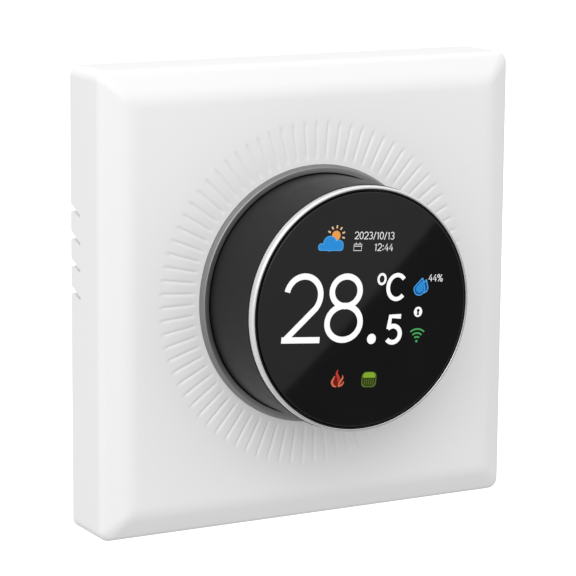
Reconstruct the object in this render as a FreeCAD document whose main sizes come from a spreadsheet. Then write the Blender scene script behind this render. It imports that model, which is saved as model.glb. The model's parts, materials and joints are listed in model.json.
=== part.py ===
import FreeCAD
import Part
import math
import os
import re

import Sketcher
from FreeCAD import Placement, Rotation, Vector

# Wall thermostat for a square wall box.
# Frame: +Z up, -Y towards the room, +Y into the wall. Origin: centre of the wall plane.
# "Out" is the distance in front of the wall plane, so y = -out. Lengths are in mm.

DIMENSIONS = {
    "cutting": {
        "overrun": 1,
    },
    "front cover": {
        "cover_half": 43, "cover_side_out": 12.1, "cover_front_out": 14.5, "cover_bevel": 5,
        "cover_corner": 2, "cover_bevel_corner": 1, "cover_side_soft": 1.6, "cover_front_soft": 2.5,
        "cover_wall": 2, "cover_hollow_out": 10.2, "cover_hollow_front": 12.3, "cover_hollow_taper": 4,
        "cover_hollow_corner": 1.2, "cover_opening": 23.5, "cover_boss": 3.2, "cover_pilot": 1.05,
        "cover_pilot_deep": 3.3, "fixing_pitch": 28,
    },
    "grooves round the knob": {
        "groove_inner": 25, "groove_outer": 32.3, "groove_half": 0.4, "groove_deep": 0.26, "groove_count": 80,
    },
    "side vents": {
        "vent_first_z": 1.45, "vent_pitch": 5.05, "vent_wide": 1.35, "vent_deep": 4.1, "vent_count": 4,
        "vent_toe": 0.85, "vent_tip": 0.35,
    },
    "snap hooks": {
        "hook_x": 20, "hook_half": 5, "hook_catch": 0.6, "hook_back": 0.2, "hook_front": 1.1,
        "hook_root": 0.3, "hook_play": 0.4,
    },
    "trim ring": {
        "trim_bore": 22.95, "trim_skirt": 23.45, "trim_rim": 24.2, "trim_back": 12.9, "trim_rim_edge": 0.12,
        "trim_crest": 1.3, "trim_crest_inner": 23.1, "trim_crest_outer": 23.75, "trim_lip": 1.15,
    },
    "knob sleeve": {
        "sleeve_skin": 22.6, "sleeve_bore": 20.9, "sleeve_back": 9.6, "sleeve_flange": 24,
        "sleeve_flange_thick": 1, "sleeve_rib_back": 12.45, "sleeve_rib_front": 13.4, "sleeve_rib_bore": 19.6,
        "sleeve_step": 29.4, "sleeve_rebate": 22.05, "sleeve_front": 30.4, "sleeve_edge": 0.15,
    },
    "bezel ring": {
        "bezel_bore": 21.75, "bezel_spigot": 22, "bezel_skin": 22.5, "bezel_back": 29.45, "bezel_front": 31.9,
        "bezel_round": 0.45,
    },
    "front lens": {
        "lens_skin": 21.5, "lens_back": 30.8, "lens_front": 32.2, "lens_edge": 0.25,
        "glue_inner": 19.45, "glue_outer": 20.3, "glue_back": 30.6,
    },
    "display": {
        "panel_skin": 19, "panel_back": 28.6, "panel_front": 30.4, "light_skin": 19.2, "light_back": 27.2,
        "light_rim": 17.8, "light_well": 0.5,
        "board_skin": 13.2, "board_back": 24.6, "board_front": 25.6, "board_fixing": 11, "board_hole": 0.9,
        "socket_half": 5, "socket_low": 9, "socket_high": 6, "socket_tall": 1.6,
    },
    "display carrier": {
        "drum_skin": 20.4, "drum_land": 20.84, "drum_back": 13.6, "drum_back_land": 2, "drum_front_land": 27,
        "drum_front": 30.6, "drum_pocket": 19.4, "drum_bore": 18.9, "web_back": 26.2,
        "clip_back": 29.6, "clip_front": 30.1, "clip_seat": 19.9, "clip_skin": 21.5, "clip_play": 0.05,
        "clip_gap_half": 1.5, "drum_boss_ring": 16.2, "drum_boss": 2.2, "drum_boss_turn": 60,
        "pilot_floor": 0.2, "board_boss": 1.9, "board_pilot": 0.75, "plate_pilot": 0.95, "pilot_deep": 6,
    },
    "carriage plate": {
        "plate_skin": 18.7, "plate_front": 15, "leg_ring": 13.5, "leg_skin": 1.93, "leg_back": 6.95,
        "leg_pilot": 0.85, "leg_pilot_front": 11, "leg_turn": 30, "post_skin": 2, "post_back": 9.65,
        "plate_hole": 1.15, "ribbon_window_half": 4.6, "ribbon_window_low": 9.6, "ribbon_window_high": 5.2,
    },
    "springs": {
        "coil_mean": 3.2, "coil_wire": 0.2, "coil_turns": 4.5, "coil_steps": 16,
    },
    "gears": {
        "gear_module": 0.5, "ring_teeth": 76, "pinion_teeth": 19, "pressure_angle": 20, "tooth_play": 0.05,
        "gear_tip": 0.42, "gear_root": 0.6, "ring_skin": 20.85, "ring_back": 9.8, "ring_front": 12.4,
        "pinion_back": 9.2, "pinion_front": 12.5,
    },
    "encoder": {
        "encoder_half": 5.85, "encoder_front": 9, "encoder_bore": 1.56, "encoder_floor": 5.6,
        "spindle_skin": 1.5, "spindle_back": 5.8, "spindle_front": 12.7, "spindle_fit": 0.03,
    },
    "press switch": {
        "switch_half": 3.1, "switch_front": 8.1, "switch_bore": 1.85, "switch_floor": 6.5,
        "plunger_skin": 1.75, "plunger_back": 7.2, "plunger_front": 9.6,
    },
    "chassis": {
        "chassis_half": 32, "chassis_corner": 2, "chassis_back": 7, "chassis_front": 8.6, "chassis_hole": 1.3,
        "chassis_guide": 2, "collar_skin": 2.8, "collar_front": 9.4, "switch_window": 3.6,
        "encoder_window": 6.3, "spacer_x": 28, "spacer_z": 18, "spacer_skin": 2.4, "spacer_pilot": 0.85,
        "spacer_floor": 0.3,
    },
    "control board": {
        "control_half": 35, "control_corner": 1.5, "control_back": 3.4, "control_front": 5,
        "control_hole": 1.1,
        "access_hole": 3, "stop_hole": 3.4, "notch_inner": 25, "notch_half": 6,
        "connector_tall": 1.6, "ribbon_half": 4, "ribbon_thick": 0.2, "ribbon_bow": 1.2, "ribbon_z": 7.5,
        "chip_x": -12, "chip_z": -2, "chip_half": 3.5, "chip_tall": 1,
        "radio_x": 12, "radio_z": 10, "radio_half_x": 8, "radio_half_z": 6, "radio_board": 0.8,
        "shield_half_x": 5.4, "shield_half_z": 5.2, "shield_tall": 2, "shield_x": 10.2, "shield_wall": 0.2,
        "header_half": 10.16, "header_z": -16, "header_half_z": 1.27, "header_tall": 2.5, "pin_pitch": 2.54,
        "pin_count": 8, "pin_half": 0.32, "pin_reach": 6, "pin_play": 0.08,
        "socket_lift": 0.4,
    },
    "climate sensor": {
        "sense_outer": 38.6, "sense_inner": 37.8, "sense_low": 1, "sense_high": 15, "sense_back": 3.6,
        "sense_front": 11, "sense_chip_z": 8, "sense_chip_out": 8.4, "sense_chip_half": 1.3,
        "sense_chip_tall": 0.9,
        "link_inner": 33, "link_low": 4, "link_high": 12, "link_tall": 1.8,
    },
    "rear housing": {
        "flange_half": 40.5, "flange_corner": 1, "flange_front": 2, "flange_ledge": 1.25, "flange_notch": 1,
        "box_half": 25, "box_corner": 2, "box_deep": 27, "box_wall": 2, "slot_x": 30, "slot_half": 2.2,
        "slot_length": 8, "pillar_x": 20.6, "pillar_high": 20.6, "pillar_low": -11, "pillar_skin": 2.2,
        "pillar_pilot": 1.05, "block_window": 21.15, "block_window_top": -13.85, "block_window_out": 9.45,
    },
    "power board": {
        "power_half": 22.6, "power_back": -9.6, "power_front": -8, "power_hole": 1.3,
        "barrier_half": 22.8, "barrier_corner": 1, "barrier_back": -1.6, "barrier_front": -0.2,
        "barrier_leg": 2,
        "barrier_hole": 1.3, "barrier_window": 10.6, "barrier_window_half": 1.7, "socket_gap": 0.5,
    },
    "power parts": {
        "relay_x": -8, "relay_z": 13.75, "relay_half_x": 9.5, "relay_half_z": 7.75, "relay_tall": 15.2,
        "relay_soft": 0.6, "core_x": 10.5, "core_z": 14, "core_half_x": 7, "core_half_z": 3.2,
        "core_tall": 13,
        "winding_half_x": 4.2, "winding_half_z": 6.2, "winding_back": 2.2, "winding_tall": 8.6,
        "can_x": -14, "can_z": -3.4, "can_skin": 4, "can_tall": 12.5, "can_bead": 0.4,
        "film_x": -0.5, "film_z": -7.5, "film_half_x": 6.5, "film_half_z": 3, "film_tall": 11,
        "film_soft": 0.8,
        "disc_x": 13, "disc_z": -6, "disc_skin": 4.5, "disc_half": 1.9, "disc_lead": 0.5, "disc_leg": 0.35,
        "disc_leg_x": 2.5,
        "fuse_x": -1, "fuse_z": 1, "fuse_skin": 1.8, "fuse_half": 4.6, "fuse_lift": 2.2, "fuse_leg": 0.4,
        "fuse_leg_x": 5.8, "fuse_cap": 1.4, "fuse_cap_skin": 2,
    },
    "terminals": {
        "block_half": 21, "block_low": -25, "block_high": -14, "block_back": -27, "block_front": -9.6,
        "pole_pitch": 7, "pole_count": 6, "entry_out": -20, "entry_bore": 1.75, "entry_deep": 4,
        "entry_lead": 1.5,
        "cell_half": 2.6, "cell_high": -15.5, "cell_back": -24, "cell_front": -16, "turn_bore": 2.05,
        "turn_z": -18.25, "cage_half": 2.5, "cage_low": -20.9, "cage_high": -15.6, "cage_back": -23.4,
        "cage_front": -16.4, "cage_way": 1.8, "clamp_hole": 1.3, "bolt_head": 1.9, "bolt_head_back": -26.4,
        "bolt_head_front": -24.2, "bolt_shank": 1.25, "bolt_tip": -22, "bolt_slot_half": 0.35,
        "bolt_slot_deep": 0.8, "bolt_slot_over": 0.1,
    },
    "screws": {
        "cross_half": 0.28, "cross_reach": 1, "cross_deep": 0.7,
        "chassis_head": 2.4, "chassis_head_tall": 1.3, "chassis_shank": 1, "chassis_tip": 11.4,
        "control_head": 2, "control_head_tall": 1.1, "control_shank": 0.8, "control_tip": 8.2,
        "plate_head": 1.9, "plate_head_tall": 1.1, "plate_shank": 0.9, "plate_tip": 20,
        "stop_head": 2.9, "stop_head_tall": 1.2, "stop_shank": 0.8, "stop_tip": 10.6,
        "display_head": 1.4, "display_head_tall": 0.9, "display_shank": 0.7, "display_tip": 26.9,
        "power_head": 2, "power_head_tall": 1.1, "power_shank": 1, "power_tip": -18,
    },
}
ALIASES = {alias for group in DIMENSIONS.values() for alias in group}
X_AXIS_LINE = -1
Z_AXIS_LINE = -2
FULL_TURN = 360
VOLUME_STEP = 1e-6
EDGE_TOLERANCE = 1e-3
INVOLUTE_STEPS = 5

document = FreeCAD.newDocument("wall_thermostat")
sheet = document.addObject("Spreadsheet::Sheet", "dims")
nodes = []


def fill_sheet():
    """Writes every driving dimension into the sheet, one named cell each."""
    row = 1
    for group, cells in DIMENSIONS.items():
        sheet.set(f"A{row}", group)
        row += 1
        for alias, size in cells.items():
            sheet.set(f"A{row}", alias)
            sheet.set(f"B{row}", str(size))
            sheet.setAlias(f"B{row}", alias)
            row += 1
    document.recompute()


def value(text):
    """The number that a sheet expression stands for."""
    return float(sheet.evalExpression(text))


def linked(text):
    """The same expression as seen from another object, with each alias led by the sheet's name."""
    def lead(word):
        return f"dims.{word.group()}" if word.group() in ALIASES else word.group()
    return re.sub(r"[a-z][a-z_]*", lead, text)


def count(text):
    """A whole number from the sheet."""
    return int(round(value(text)))


def keep(feature, label):
    """Names a finished sub-part and puts it on the list of files."""
    feature.Label = label
    nodes.append(feature)
    return feature


def new_body(label):
    """An empty body that is one sub-part of the assembly."""
    body = document.addObject("PartDesign::Body", label)
    body.AllowCompound = True
    return keep(body, label)


def origin_plane(body, role):
    """One of the body's own origin planes or axes."""
    return next(item for item in body.Origin.OriginFeatures if item.Role == role)


def sketch_on(body, role, offset):
    """A sketch on an origin plane, moved along the plane's normal by a sheet expression."""
    sketch = body.newObject("Sketcher::SketchObject", f"{body.Name}_sketch")
    sketch.AttachmentSupport = [(origin_plane(body, role), "")]
    sketch.MapMode = "FlatFace"
    sketch.AttachmentOffset = Placement(Vector(0, 0, value(offset)), Rotation())
    sketch.setExpression("AttachmentOffset.Base.z", linked(offset))
    return sketch


def facing(body, out):
    """A sketch seen from the room: across is +X, up is +Z, at a distance out from the wall plane."""
    return sketch_on(body, "XZ_Plane", out)


def hold_point(sketch, line, end, across, up):
    """Fixes one point of a sketch at two sheet expressions."""
    for kind, axis, text in (("DistanceX", Z_AXIS_LINE, across), ("DistanceY", X_AXIS_LINE, up)):
        if text == "0":
            sketch.addConstraint(Sketcher.Constraint("PointOnObject", line, end, axis))
        else:
            rule = Sketcher.Constraint(kind, X_AXIS_LINE, 1, line, end, value(text))
            sketch.setExpression(f"Constraints[{sketch.addConstraint(rule)}]", linked(text))


def hold_size(sketch, kind, line, text):
    """Fixes a radius of a sketch at a sheet expression."""
    rule = Sketcher.Constraint(kind, line, value(text))
    sketch.setExpression(f"Constraints[{sketch.addConstraint(rule)}]", linked(text))


def outline(sketch, corners):
    """Adds one closed outline of straight lines, each corner given by two sheet expressions."""
    first = sketch.GeometryCount
    spots = [Vector(value(across), value(up), 0) for across, up in corners]
    for start, end in zip(spots, spots[1:] + spots[:1]):
        sketch.addGeometry(Part.LineSegment(start, end))
    for step, (across, up) in enumerate(corners):
        line = first + step
        following = first + (step + 1) % len(corners)
        sketch.addConstraint(Sketcher.Constraint("Coincident", line, 2, following, 1))
        hold_point(sketch, line, 1, across, up)


def box_outline(sketch, left, low, right, high):
    """Adds one rectangle."""
    outline(sketch, [(left, low), (right, low), (right, high), (left, high)])


def disc_outline(sketch, across, up, radius):
    """Adds one circle."""
    centre = Vector(value(across), value(up), 0)
    line = sketch.addGeometry(Part.Circle(centre, Vector(0, 0, 1), value(radius)))
    hold_point(sketch, line, 3, across, up)
    hold_size(sketch, "Radius", line, radius)


def soft_square(sketch, half, corner):
    """Adds one centred square with rounded corners."""
    size, radius = value(half), value(corner)
    inner = size - radius
    first = sketch.GeometryCount
    for quarter in range(4):
        turn = Rotation(Vector(0, 0, 1), 90 * quarter)
        start = turn.multVec(Vector(-inner, -size, 0))
        end = turn.multVec(Vector(inner, -size, 0))
        centre = turn.multVec(Vector(inner, -inner, 0))
        sketch.addGeometry(Part.LineSegment(start, end))
        sweep = math.radians(90 * quarter)
        circle = Part.Circle(centre, Vector(0, 0, 1), radius)
        sketch.addGeometry(Part.ArcOfCircle(circle, sweep - math.pi / 2, sweep))
    sides = (("DistanceY", f"-({half})"), ("DistanceX", half),
             ("DistanceY", half), ("DistanceX", f"-({half})"))
    for quarter, (kind, text) in enumerate(sides):
        side, arc = first + 2 * quarter, first + 2 * quarter + 1
        following = first + (2 * quarter + 2) % 8
        sketch.addConstraint(Sketcher.Constraint("Tangent", side, 2, arc, 1))
        sketch.addConstraint(Sketcher.Constraint("Tangent", arc, 2, following, 1))
        rule = Sketcher.Constraint(kind, X_AXIS_LINE, 1, side, 1, value(text))
        sketch.setExpression(f"Constraints[{sketch.addConstraint(rule)}]", linked(text))
        hold_size(sketch, "Radius", arc, corner)


def finish_feature(feature, grows, before):
    """Recomputes a new feature and makes sure that it added or removed material."""
    document.recompute()
    change = feature.Shape.Volume - before
    if (change if grows else -change) < VOLUME_STEP:
        raise RuntimeError(f"{feature.Name} changed the volume by {change}")
    return feature


def body_volume(body):
    """The volume of a body so far."""
    return body.Shape.Volume if body.Tip and not body.Shape.isNull() else 0.0


def pad(body, sketch, length):
    """Adds material in front of a sketch."""
    before = body_volume(body)
    feature = body.newObject("PartDesign::Pad", f"{body.Name}_pad")
    feature.Profile = sketch
    feature.setExpression("Length", linked(length))
    return finish_feature(feature, True, before)


def pocket(body, sketch, length, forward=False):
    """Cuts behind a sketch, or in front of it."""
    before = body_volume(body)
    feature = body.newObject("PartDesign::Pocket", f"{body.Name}_pocket")
    feature.Profile = sketch
    feature.setExpression("Length", linked(length))
    feature.Reversed = forward
    return finish_feature(feature, False, before)


def slab(body, back, front, draw):
    """Adds a layer between two distances out; draw(sketch) gives its outline."""
    sketch = facing(body, back)
    draw(sketch)
    return pad(body, sketch, f"({front}) - ({back})")


def sink(body, back, front, draw):
    """Cuts a layer between two distances out; draw(sketch) gives its outline."""
    sketch = facing(body, back)
    draw(sketch)
    return pocket(body, sketch, f"({front}) - ({back})", forward=True)


def turned(body, profile):
    """Adds a piece turned about the Y axis; each point is a radius and a distance out."""
    sketch = sketch_on(body, "XY_Plane", "0")
    outline(sketch, [(radius, f"-({out})") for radius, out in profile])
    feature = body.newObject("PartDesign::Revolution", f"{body.Name}_turned")
    feature.Profile = sketch
    feature.ReferenceAxis = (sketch, ["V_Axis"])
    feature.Angle = FULL_TURN
    return finish_feature(feature, True, 0.0)


def ring_pattern(body, feature, times):
    """Repeats a feature evenly all round the Y axis."""
    pattern = body.newObject("PartDesign::PolarPattern", f"{body.Name}_ring")
    pattern.Originals = [feature]
    pattern.Axis = (origin_plane(body, "Y_Axis"), [""])
    pattern.Angle = FULL_TURN
    pattern.setExpression("Occurrences", linked(times))
    body.Tip = pattern
    document.recompute()
    return pattern


def row_pattern(body, feature, role, length, times):
    """Repeats a feature evenly along an axis."""
    pattern = body.newObject("PartDesign::LinearPattern", f"{body.Name}_row")
    pattern.Originals = [feature]
    pattern.Direction = (origin_plane(body, role), [""])
    pattern.setExpression("Length", linked(length))
    pattern.setExpression("Occurrences", linked(times))
    body.Tip = pattern
    document.recompute()
    return pattern


def soften(body, feature, radius, wanted, kind="Fillet"):
    """Rounds or bevels the edges that wanted(edge) picks."""
    names = [f"Edge{index}" for index, edge in enumerate(feature.Shape.Edges, 1) if wanted(edge)]
    softened = body.newObject(f"PartDesign::{kind}", f"{body.Name}_soft")
    softened.Base = (feature, names)
    softened.setExpression("Radius" if kind == "Fillet" else "Size", linked(radius))
    document.recompute()
    return softened


def flat_at(edge, out):
    """True for an edge that lies wholly at one distance out."""
    box = edge.BoundBox
    return abs(box.YMin + out) < EDGE_TOLERANCE and abs(box.YMax + out) < EDGE_TOLERANCE


def runs_out(edge):
    """True for a straight edge that runs square to the wall."""
    box = edge.BoundBox
    return box.XLength < EDGE_TOLERANCE and box.ZLength < EDGE_TOLERANCE


def ring_spots(ring, turn, times):
    """Evenly spaced places on a ring, as pairs of sheet expressions."""
    angles = [f"{turn} + {FULL_TURN / times * place}" for place in range(times)]
    return [(f"({ring}) * cos({angle})", f"({ring}) * sin({angle})") for angle in angles]


def corner_spots(across, up):
    """Four places, mirrored about the middle."""
    return [(f"{sx}({across})", f"{sz}({up})") for sx in ("-", "") for sz in ("-", "")]


def discs(spots, radius):
    """A drawing of one circle at each spot."""
    return lambda sketch: [disc_outline(sketch, across, up, radius) for across, up in spots]


def block_at(across, up, half_x, half_z):
    """A drawing of one rectangle about a centre."""
    return lambda sketch: box_outline(
        sketch, f"{across} - ({half_x})", f"{up} - ({half_z})", f"{across} + ({half_x})", f"{up} + ({half_z})"
    )


LEG_SPOTS = ring_spots("leg_ring", "leg_turn", 3)
PLATE_SCREW_SPOTS = ring_spots("drum_boss_ring", "drum_boss_turn", 3)
DISPLAY_SCREW_SPOTS = ring_spots("board_fixing", "leg_turn", 3)
CHASSIS_SPOTS = corner_spots("fixing_pitch", "fixing_pitch")
SPACER_SPOTS = corner_spots("spacer_x", "spacer_z")
PILLAR_SPOTS = [(x, z) for x in ("-pillar_x", "pillar_x") for z in ("pillar_low", "pillar_high")]
GEAR_DISTANCE = "gear_module * (ring_teeth - pinion_teeth) / 2"


def build_front_cover():
    """Bevelled square cover, open at the back, with a round opening, grooves, vents and snap hooks."""
    body = new_body("front_cover")
    slab(body, "0", "cover_side_out", lambda sketch: soft_square(sketch, "cover_half", "cover_corner"))
    bevel_back = facing(body, "cover_side_out")
    soft_square(bevel_back, "cover_half", "cover_corner")
    bevel_front = facing(body, "cover_front_out")
    soft_square(bevel_front, "cover_half - cover_bevel", "cover_bevel_corner")
    bevel = loft(body, "PartDesign::AdditiveLoft", bevel_back, bevel_front)
    side = soften(body, bevel, "cover_side_soft", lambda edge: flat_at(edge, value("cover_side_out")))
    soften(body, side, "cover_front_soft", lambda edge: flat_at(edge, value("cover_front_out")))
    hollow_half = "cover_half - cover_wall"
    sink(body, "0", "cover_hollow_out",
         lambda sketch: soft_square(sketch, hollow_half, "cover_hollow_corner"))
    hollow_back = facing(body, "cover_hollow_out")
    soft_square(hollow_back, hollow_half, "cover_hollow_corner")
    hollow_front = facing(body, "cover_hollow_front")
    soft_square(hollow_front, f"{hollow_half} - cover_hollow_taper", "cover_hollow_corner")
    loft(body, "PartDesign::SubtractiveLoft", hollow_back, hollow_front)
    slab(body, "chassis_front", "cover_hollow_front", discs(CHASSIS_SPOTS, "cover_boss"))
    sink(body, "chassis_front", "chassis_front + cover_pilot_deep", discs(CHASSIS_SPOTS, "cover_pilot"))
    sink(body, "cover_hollow_out", "cover_front_out + overrun", discs([("0", "0")], "cover_opening"))
    add_snap_hooks(body)
    cut_vents(body)
    cut_grooves(body)


def loft(body, kind, back, front):
    """Joins two outlines with straight flanks, adding or cutting."""
    feature = body.newObject(kind, f"{body.Name}_loft")
    feature.Profile = back
    feature.Sections = [front]
    feature.Ruled = True
    document.recompute()
    return feature


def add_snap_hooks(body):
    """Four small hooks on the inside of the top and bottom walls."""
    def draw(sketch):
        for x in ("-hook_x", "hook_x"):
            for sign in ("-", ""):
                wall = f"{sign}(cover_half - cover_wall + hook_root)"
                tip = f"{sign}(flange_half - hook_catch)"
                box_outline(sketch, f"{x} - hook_half", wall, f"{x} + hook_half", tip)
    slab(body, "hook_back", "hook_front", draw)


def cut_vents(body):
    """Rows of saw-tooth notches in the back edge of both side walls."""
    sketch = sketch_on(body, "YZ_Plane", "-(cover_half + overrun)")
    low, high = "vent_first_z", "vent_first_z + vent_wide"
    outline(sketch, [("overrun", low), ("-vent_deep", f"{low} - vent_toe"),
                     ("-vent_deep", f"{low} - vent_tip"), ("0", high), ("overrun", high)])
    notch = pocket(body, sketch, "2 * (cover_half + overrun)", forward=True)
    row_pattern(body, notch, "Z_Axis", "vent_pitch * (vent_count - 1)", "vent_count")


def cut_grooves(body):
    """Shallow V grooves that radiate round the knob."""
    sketch = sketch_on(body, "YZ_Plane", "groove_inner")
    surface = "-(cover_front_out)"
    outline(sketch, [(surface, "-groove_half"), (f"{surface} + groove_deep", "0"), (surface, "groove_half"),
                     (f"{surface} - overrun", "groove_half"), (f"{surface} - overrun", "-groove_half")])
    groove = pocket(body, sketch, "groove_outer - groove_inner", forward=True)
    ring_pattern(body, groove, "groove_count")


def build_trim_ring():
    """Satin ring that lines the opening in the cover."""
    face = "cover_front_out"
    turned(new_body("trim_ring"), [
        ("trim_bore", "trim_back"), ("trim_skirt", "trim_back"), ("trim_skirt", face), ("trim_rim", face),
        ("trim_rim", f"{face} + trim_rim_edge"), ("trim_crest_outer", f"{face} + trim_crest"),
        ("trim_crest_inner", f"{face} + trim_crest"), ("trim_bore", f"{face} + trim_lip"),
    ])


def build_knob_sleeve():
    """Round grip wall of the knob, with a flange behind the cover and a rib behind the carrier."""
    body = new_body("knob_sleeve")
    flange_front = "sleeve_back + sleeve_flange_thick"
    sleeve = turned(body, [
        ("sleeve_bore", "sleeve_back"), ("sleeve_flange", "sleeve_back"), ("sleeve_flange", flange_front),
        ("sleeve_skin", flange_front), ("sleeve_skin", "sleeve_front"), ("sleeve_rebate", "sleeve_front"),
        ("sleeve_rebate", "sleeve_step"), ("sleeve_bore", "sleeve_step"), ("sleeve_bore", "sleeve_rib_front"),
        ("sleeve_rib_bore", "sleeve_rib_front"), ("sleeve_rib_bore", "sleeve_rib_back"),
        ("sleeve_bore", "sleeve_rib_back"),
    ])
    rim = value("sleeve_skin") * 2 - EDGE_TOLERANCE
    soften(body, sleeve, "sleeve_edge",
           lambda edge: flat_at(edge, value("sleeve_front")) and edge.BoundBox.XLength > rim)


def build_bezel_ring():
    """Bright ring on the front of the sleeve."""
    body = new_body("bezel_ring")
    bezel = turned(body, [
        ("bezel_bore", "bezel_back"), ("bezel_spigot", "bezel_back"), ("bezel_spigot", "sleeve_front"),
        ("bezel_skin", "sleeve_front"), ("bezel_skin", "bezel_front"), ("bezel_bore", "bezel_front"),
    ])
    rim = value("bezel_skin") * 2 - EDGE_TOLERANCE
    soften(body, bezel, "bezel_round",
           lambda edge: flat_at(edge, value("bezel_front")) and edge.BoundBox.XLength > rim)


def build_lens():
    """Black glass disc and the ring of glue that holds it."""
    body = new_body("front_lens")
    disc = slab(body, "lens_back", "lens_front", discs([("0", "0")], "lens_skin"))
    soften(body, disc, "lens_edge", lambda edge: flat_at(edge, value("lens_front")))
    slab(new_body("lens_adhesive"), "glue_back", "lens_back",
         lambda sketch: [disc_outline(sketch, "0", "0", radius) for radius in ("glue_inner", "glue_outer")])


def build_display():
    """Round display panel, its light tray, its board and the ribbon socket."""
    slab(new_body("lcd_panel"), "panel_back", "panel_front", discs([("0", "0")], "panel_skin"))
    tray = new_body("backlight_tray")
    slab(tray, "light_back", "panel_back", discs([("0", "0")], "light_skin"))
    sink(tray, "panel_back - light_well", "panel_back + overrun", discs([("0", "0")], "light_rim"))
    board = new_body("display_board")
    slab(board, "board_back", "board_front", discs([("0", "0")], "board_skin"))
    sink(board, "board_back - overrun", "board_front + overrun", discs(DISPLAY_SCREW_SPOTS, "board_hole"))
    slab(new_body("display_connector"), "board_back - socket_tall", "board_back",
         lambda sketch: box_outline(sketch, "-socket_half", "-socket_low", "socket_half", "-socket_high"))


def build_display_carrier():
    """Drum on which the knob turns: a pocket for the display in front, a web, and bosses behind it."""
    body = new_body("display_carrier")
    back_land = "drum_back + drum_back_land"
    turned(body, [
        ("drum_bore", "drum_back"), ("drum_land", "drum_back"), ("drum_land", back_land),
        ("drum_skin", back_land), ("drum_skin", "drum_front_land"), ("drum_land", "drum_front_land"),
        ("drum_land", "sleeve_step"), ("drum_skin", "sleeve_step"), ("drum_skin", "clip_back"),
        ("clip_seat", "clip_back"), ("clip_seat", "clip_front"), ("drum_skin", "clip_front"),
        ("drum_skin", "drum_front"), ("drum_pocket", "drum_front"), ("drum_pocket", "light_back"),
        ("0", "light_back"), ("0", "web_back"), ("drum_bore", "web_back"),
    ])
    slab(body, "plate_front", "web_back", discs(PLATE_SCREW_SPOTS, "drum_boss"))
    sink(body, "plate_front", "plate_front + pilot_deep", discs(PLATE_SCREW_SPOTS, "plate_pilot"))
    slab(body, "board_front", "web_back", discs(DISPLAY_SCREW_SPOTS, "board_boss"))
    sink(body, "board_front", "light_back - pilot_floor", discs(DISPLAY_SCREW_SPOTS, "board_pilot"))


def build_knob_clip():
    """Open spring clip in the drum's groove that keeps the sleeve from coming off backwards."""
    body = new_body("knob_clip")
    seat, skin = "clip_seat + clip_play", "clip_skin"
    slab(body, "clip_back + clip_play", "clip_front - clip_play",
         lambda sketch: [disc_outline(sketch, "0", "0", radius) for radius in (seat, skin)])
    sink(body, "clip_back", "clip_front",
         lambda sketch: box_outline(sketch, "-clip_gap_half", "-clip_skin - overrun",
                                    "clip_gap_half", "-clip_seat + overrun"))


def build_carriage_plate():
    """Plate that closes the drum, with three guide legs and the post that works the switch."""
    body = new_body("carriage_plate")
    slab(body, "drum_back", "plate_front", discs([("0", "0")], "plate_skin"))
    slab(body, "leg_back", "drum_back", discs(LEG_SPOTS, "leg_skin"))
    slab(body, "post_back", "drum_back", discs([("0", "0")], "post_skin"))
    sink(body, "leg_back", "leg_pilot_front", discs(LEG_SPOTS, "leg_pilot"))
    sink(body, "drum_back - overrun", "plate_front + overrun", discs(PLATE_SCREW_SPOTS, "plate_hole"))
    sink(body, "drum_back - overrun", "plate_front + overrun",
         lambda sketch: box_outline(sketch, "-ribbon_window_half", "-ribbon_window_low",
                                    "ribbon_window_half", "-ribbon_window_high"))


def coil_section(turn):
    """The round section of a spring's wire after some turns, with the spring's axis along Z."""
    angle = 2 * math.pi * turn
    mean, turns = value("coil_mean"), value("coil_turns")
    rise = value("drum_back - chassis_front - 2 * coil_wire")
    outward = Vector(math.cos(angle), math.sin(angle), 0)
    sideways = Vector(-math.sin(angle), math.cos(angle), 0) * 2 * math.pi * mean
    along = (sideways + Vector(0, 0, rise / turns)).normalize()
    upward = along.cross(outward)
    middle = outward * mean + Vector(0, 0, rise * turn / turns)
    circle = Part.Circle(Vector(), Vector(0, 0, 1), value("coil_wire")).toShape()
    circle.Placement = Placement(FreeCAD.Matrix(
        outward.x, upward.x, along.x, middle.x,
        outward.y, upward.y, along.y, middle.y,
        outward.z, upward.z, along.z, middle.z,
    ))
    return Part.Wire([circle])


def build_return_springs():
    """Three coil springs round the legs, which push the knob back out."""
    steps = count("coil_turns * coil_steps")
    sections = [coil_section(step / value("coil_steps")) for step in range(steps + 1)]
    coil = Part.makeLoft(sections, True, True)
    for number, (across, up) in enumerate(LEG_SPOTS, 1):
        spring = document.addObject("Part::Feature", f"return_spring_{number}")
        spring.Shape = coil
        foot = Vector(value(across), -value("chassis_front + coil_wire"), value(up))
        spring.Placement = Placement(foot, Rotation(Vector(1, 0, 0), 90))
        keep(spring, f"return_spring_{number}")


def flank_angle(radius, base):
    """Polar angle of the involute of a base circle where it reaches a radius."""
    roll = math.sqrt(max(0.0, (radius / base) ** 2 - 1))
    return roll - math.atan(roll)


def tooth_flank(teeth, half_tooth, low, high):
    """Points of one flank, from the low to the high radius, leaning towards the tooth's middle line."""
    pitch = value("gear_module") * teeth / 2
    base = pitch * math.cos(math.radians(value("pressure_angle")))
    at_pitch = flank_angle(pitch, base)
    points = []
    for step in range(INVOLUTE_STEPS + 1):
        radius = low + (high - low) * step / INVOLUTE_STEPS
        turn = half_tooth + at_pitch - flank_angle(max(radius, base), base)
        points.append((radius, turn))
    return points


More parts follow.
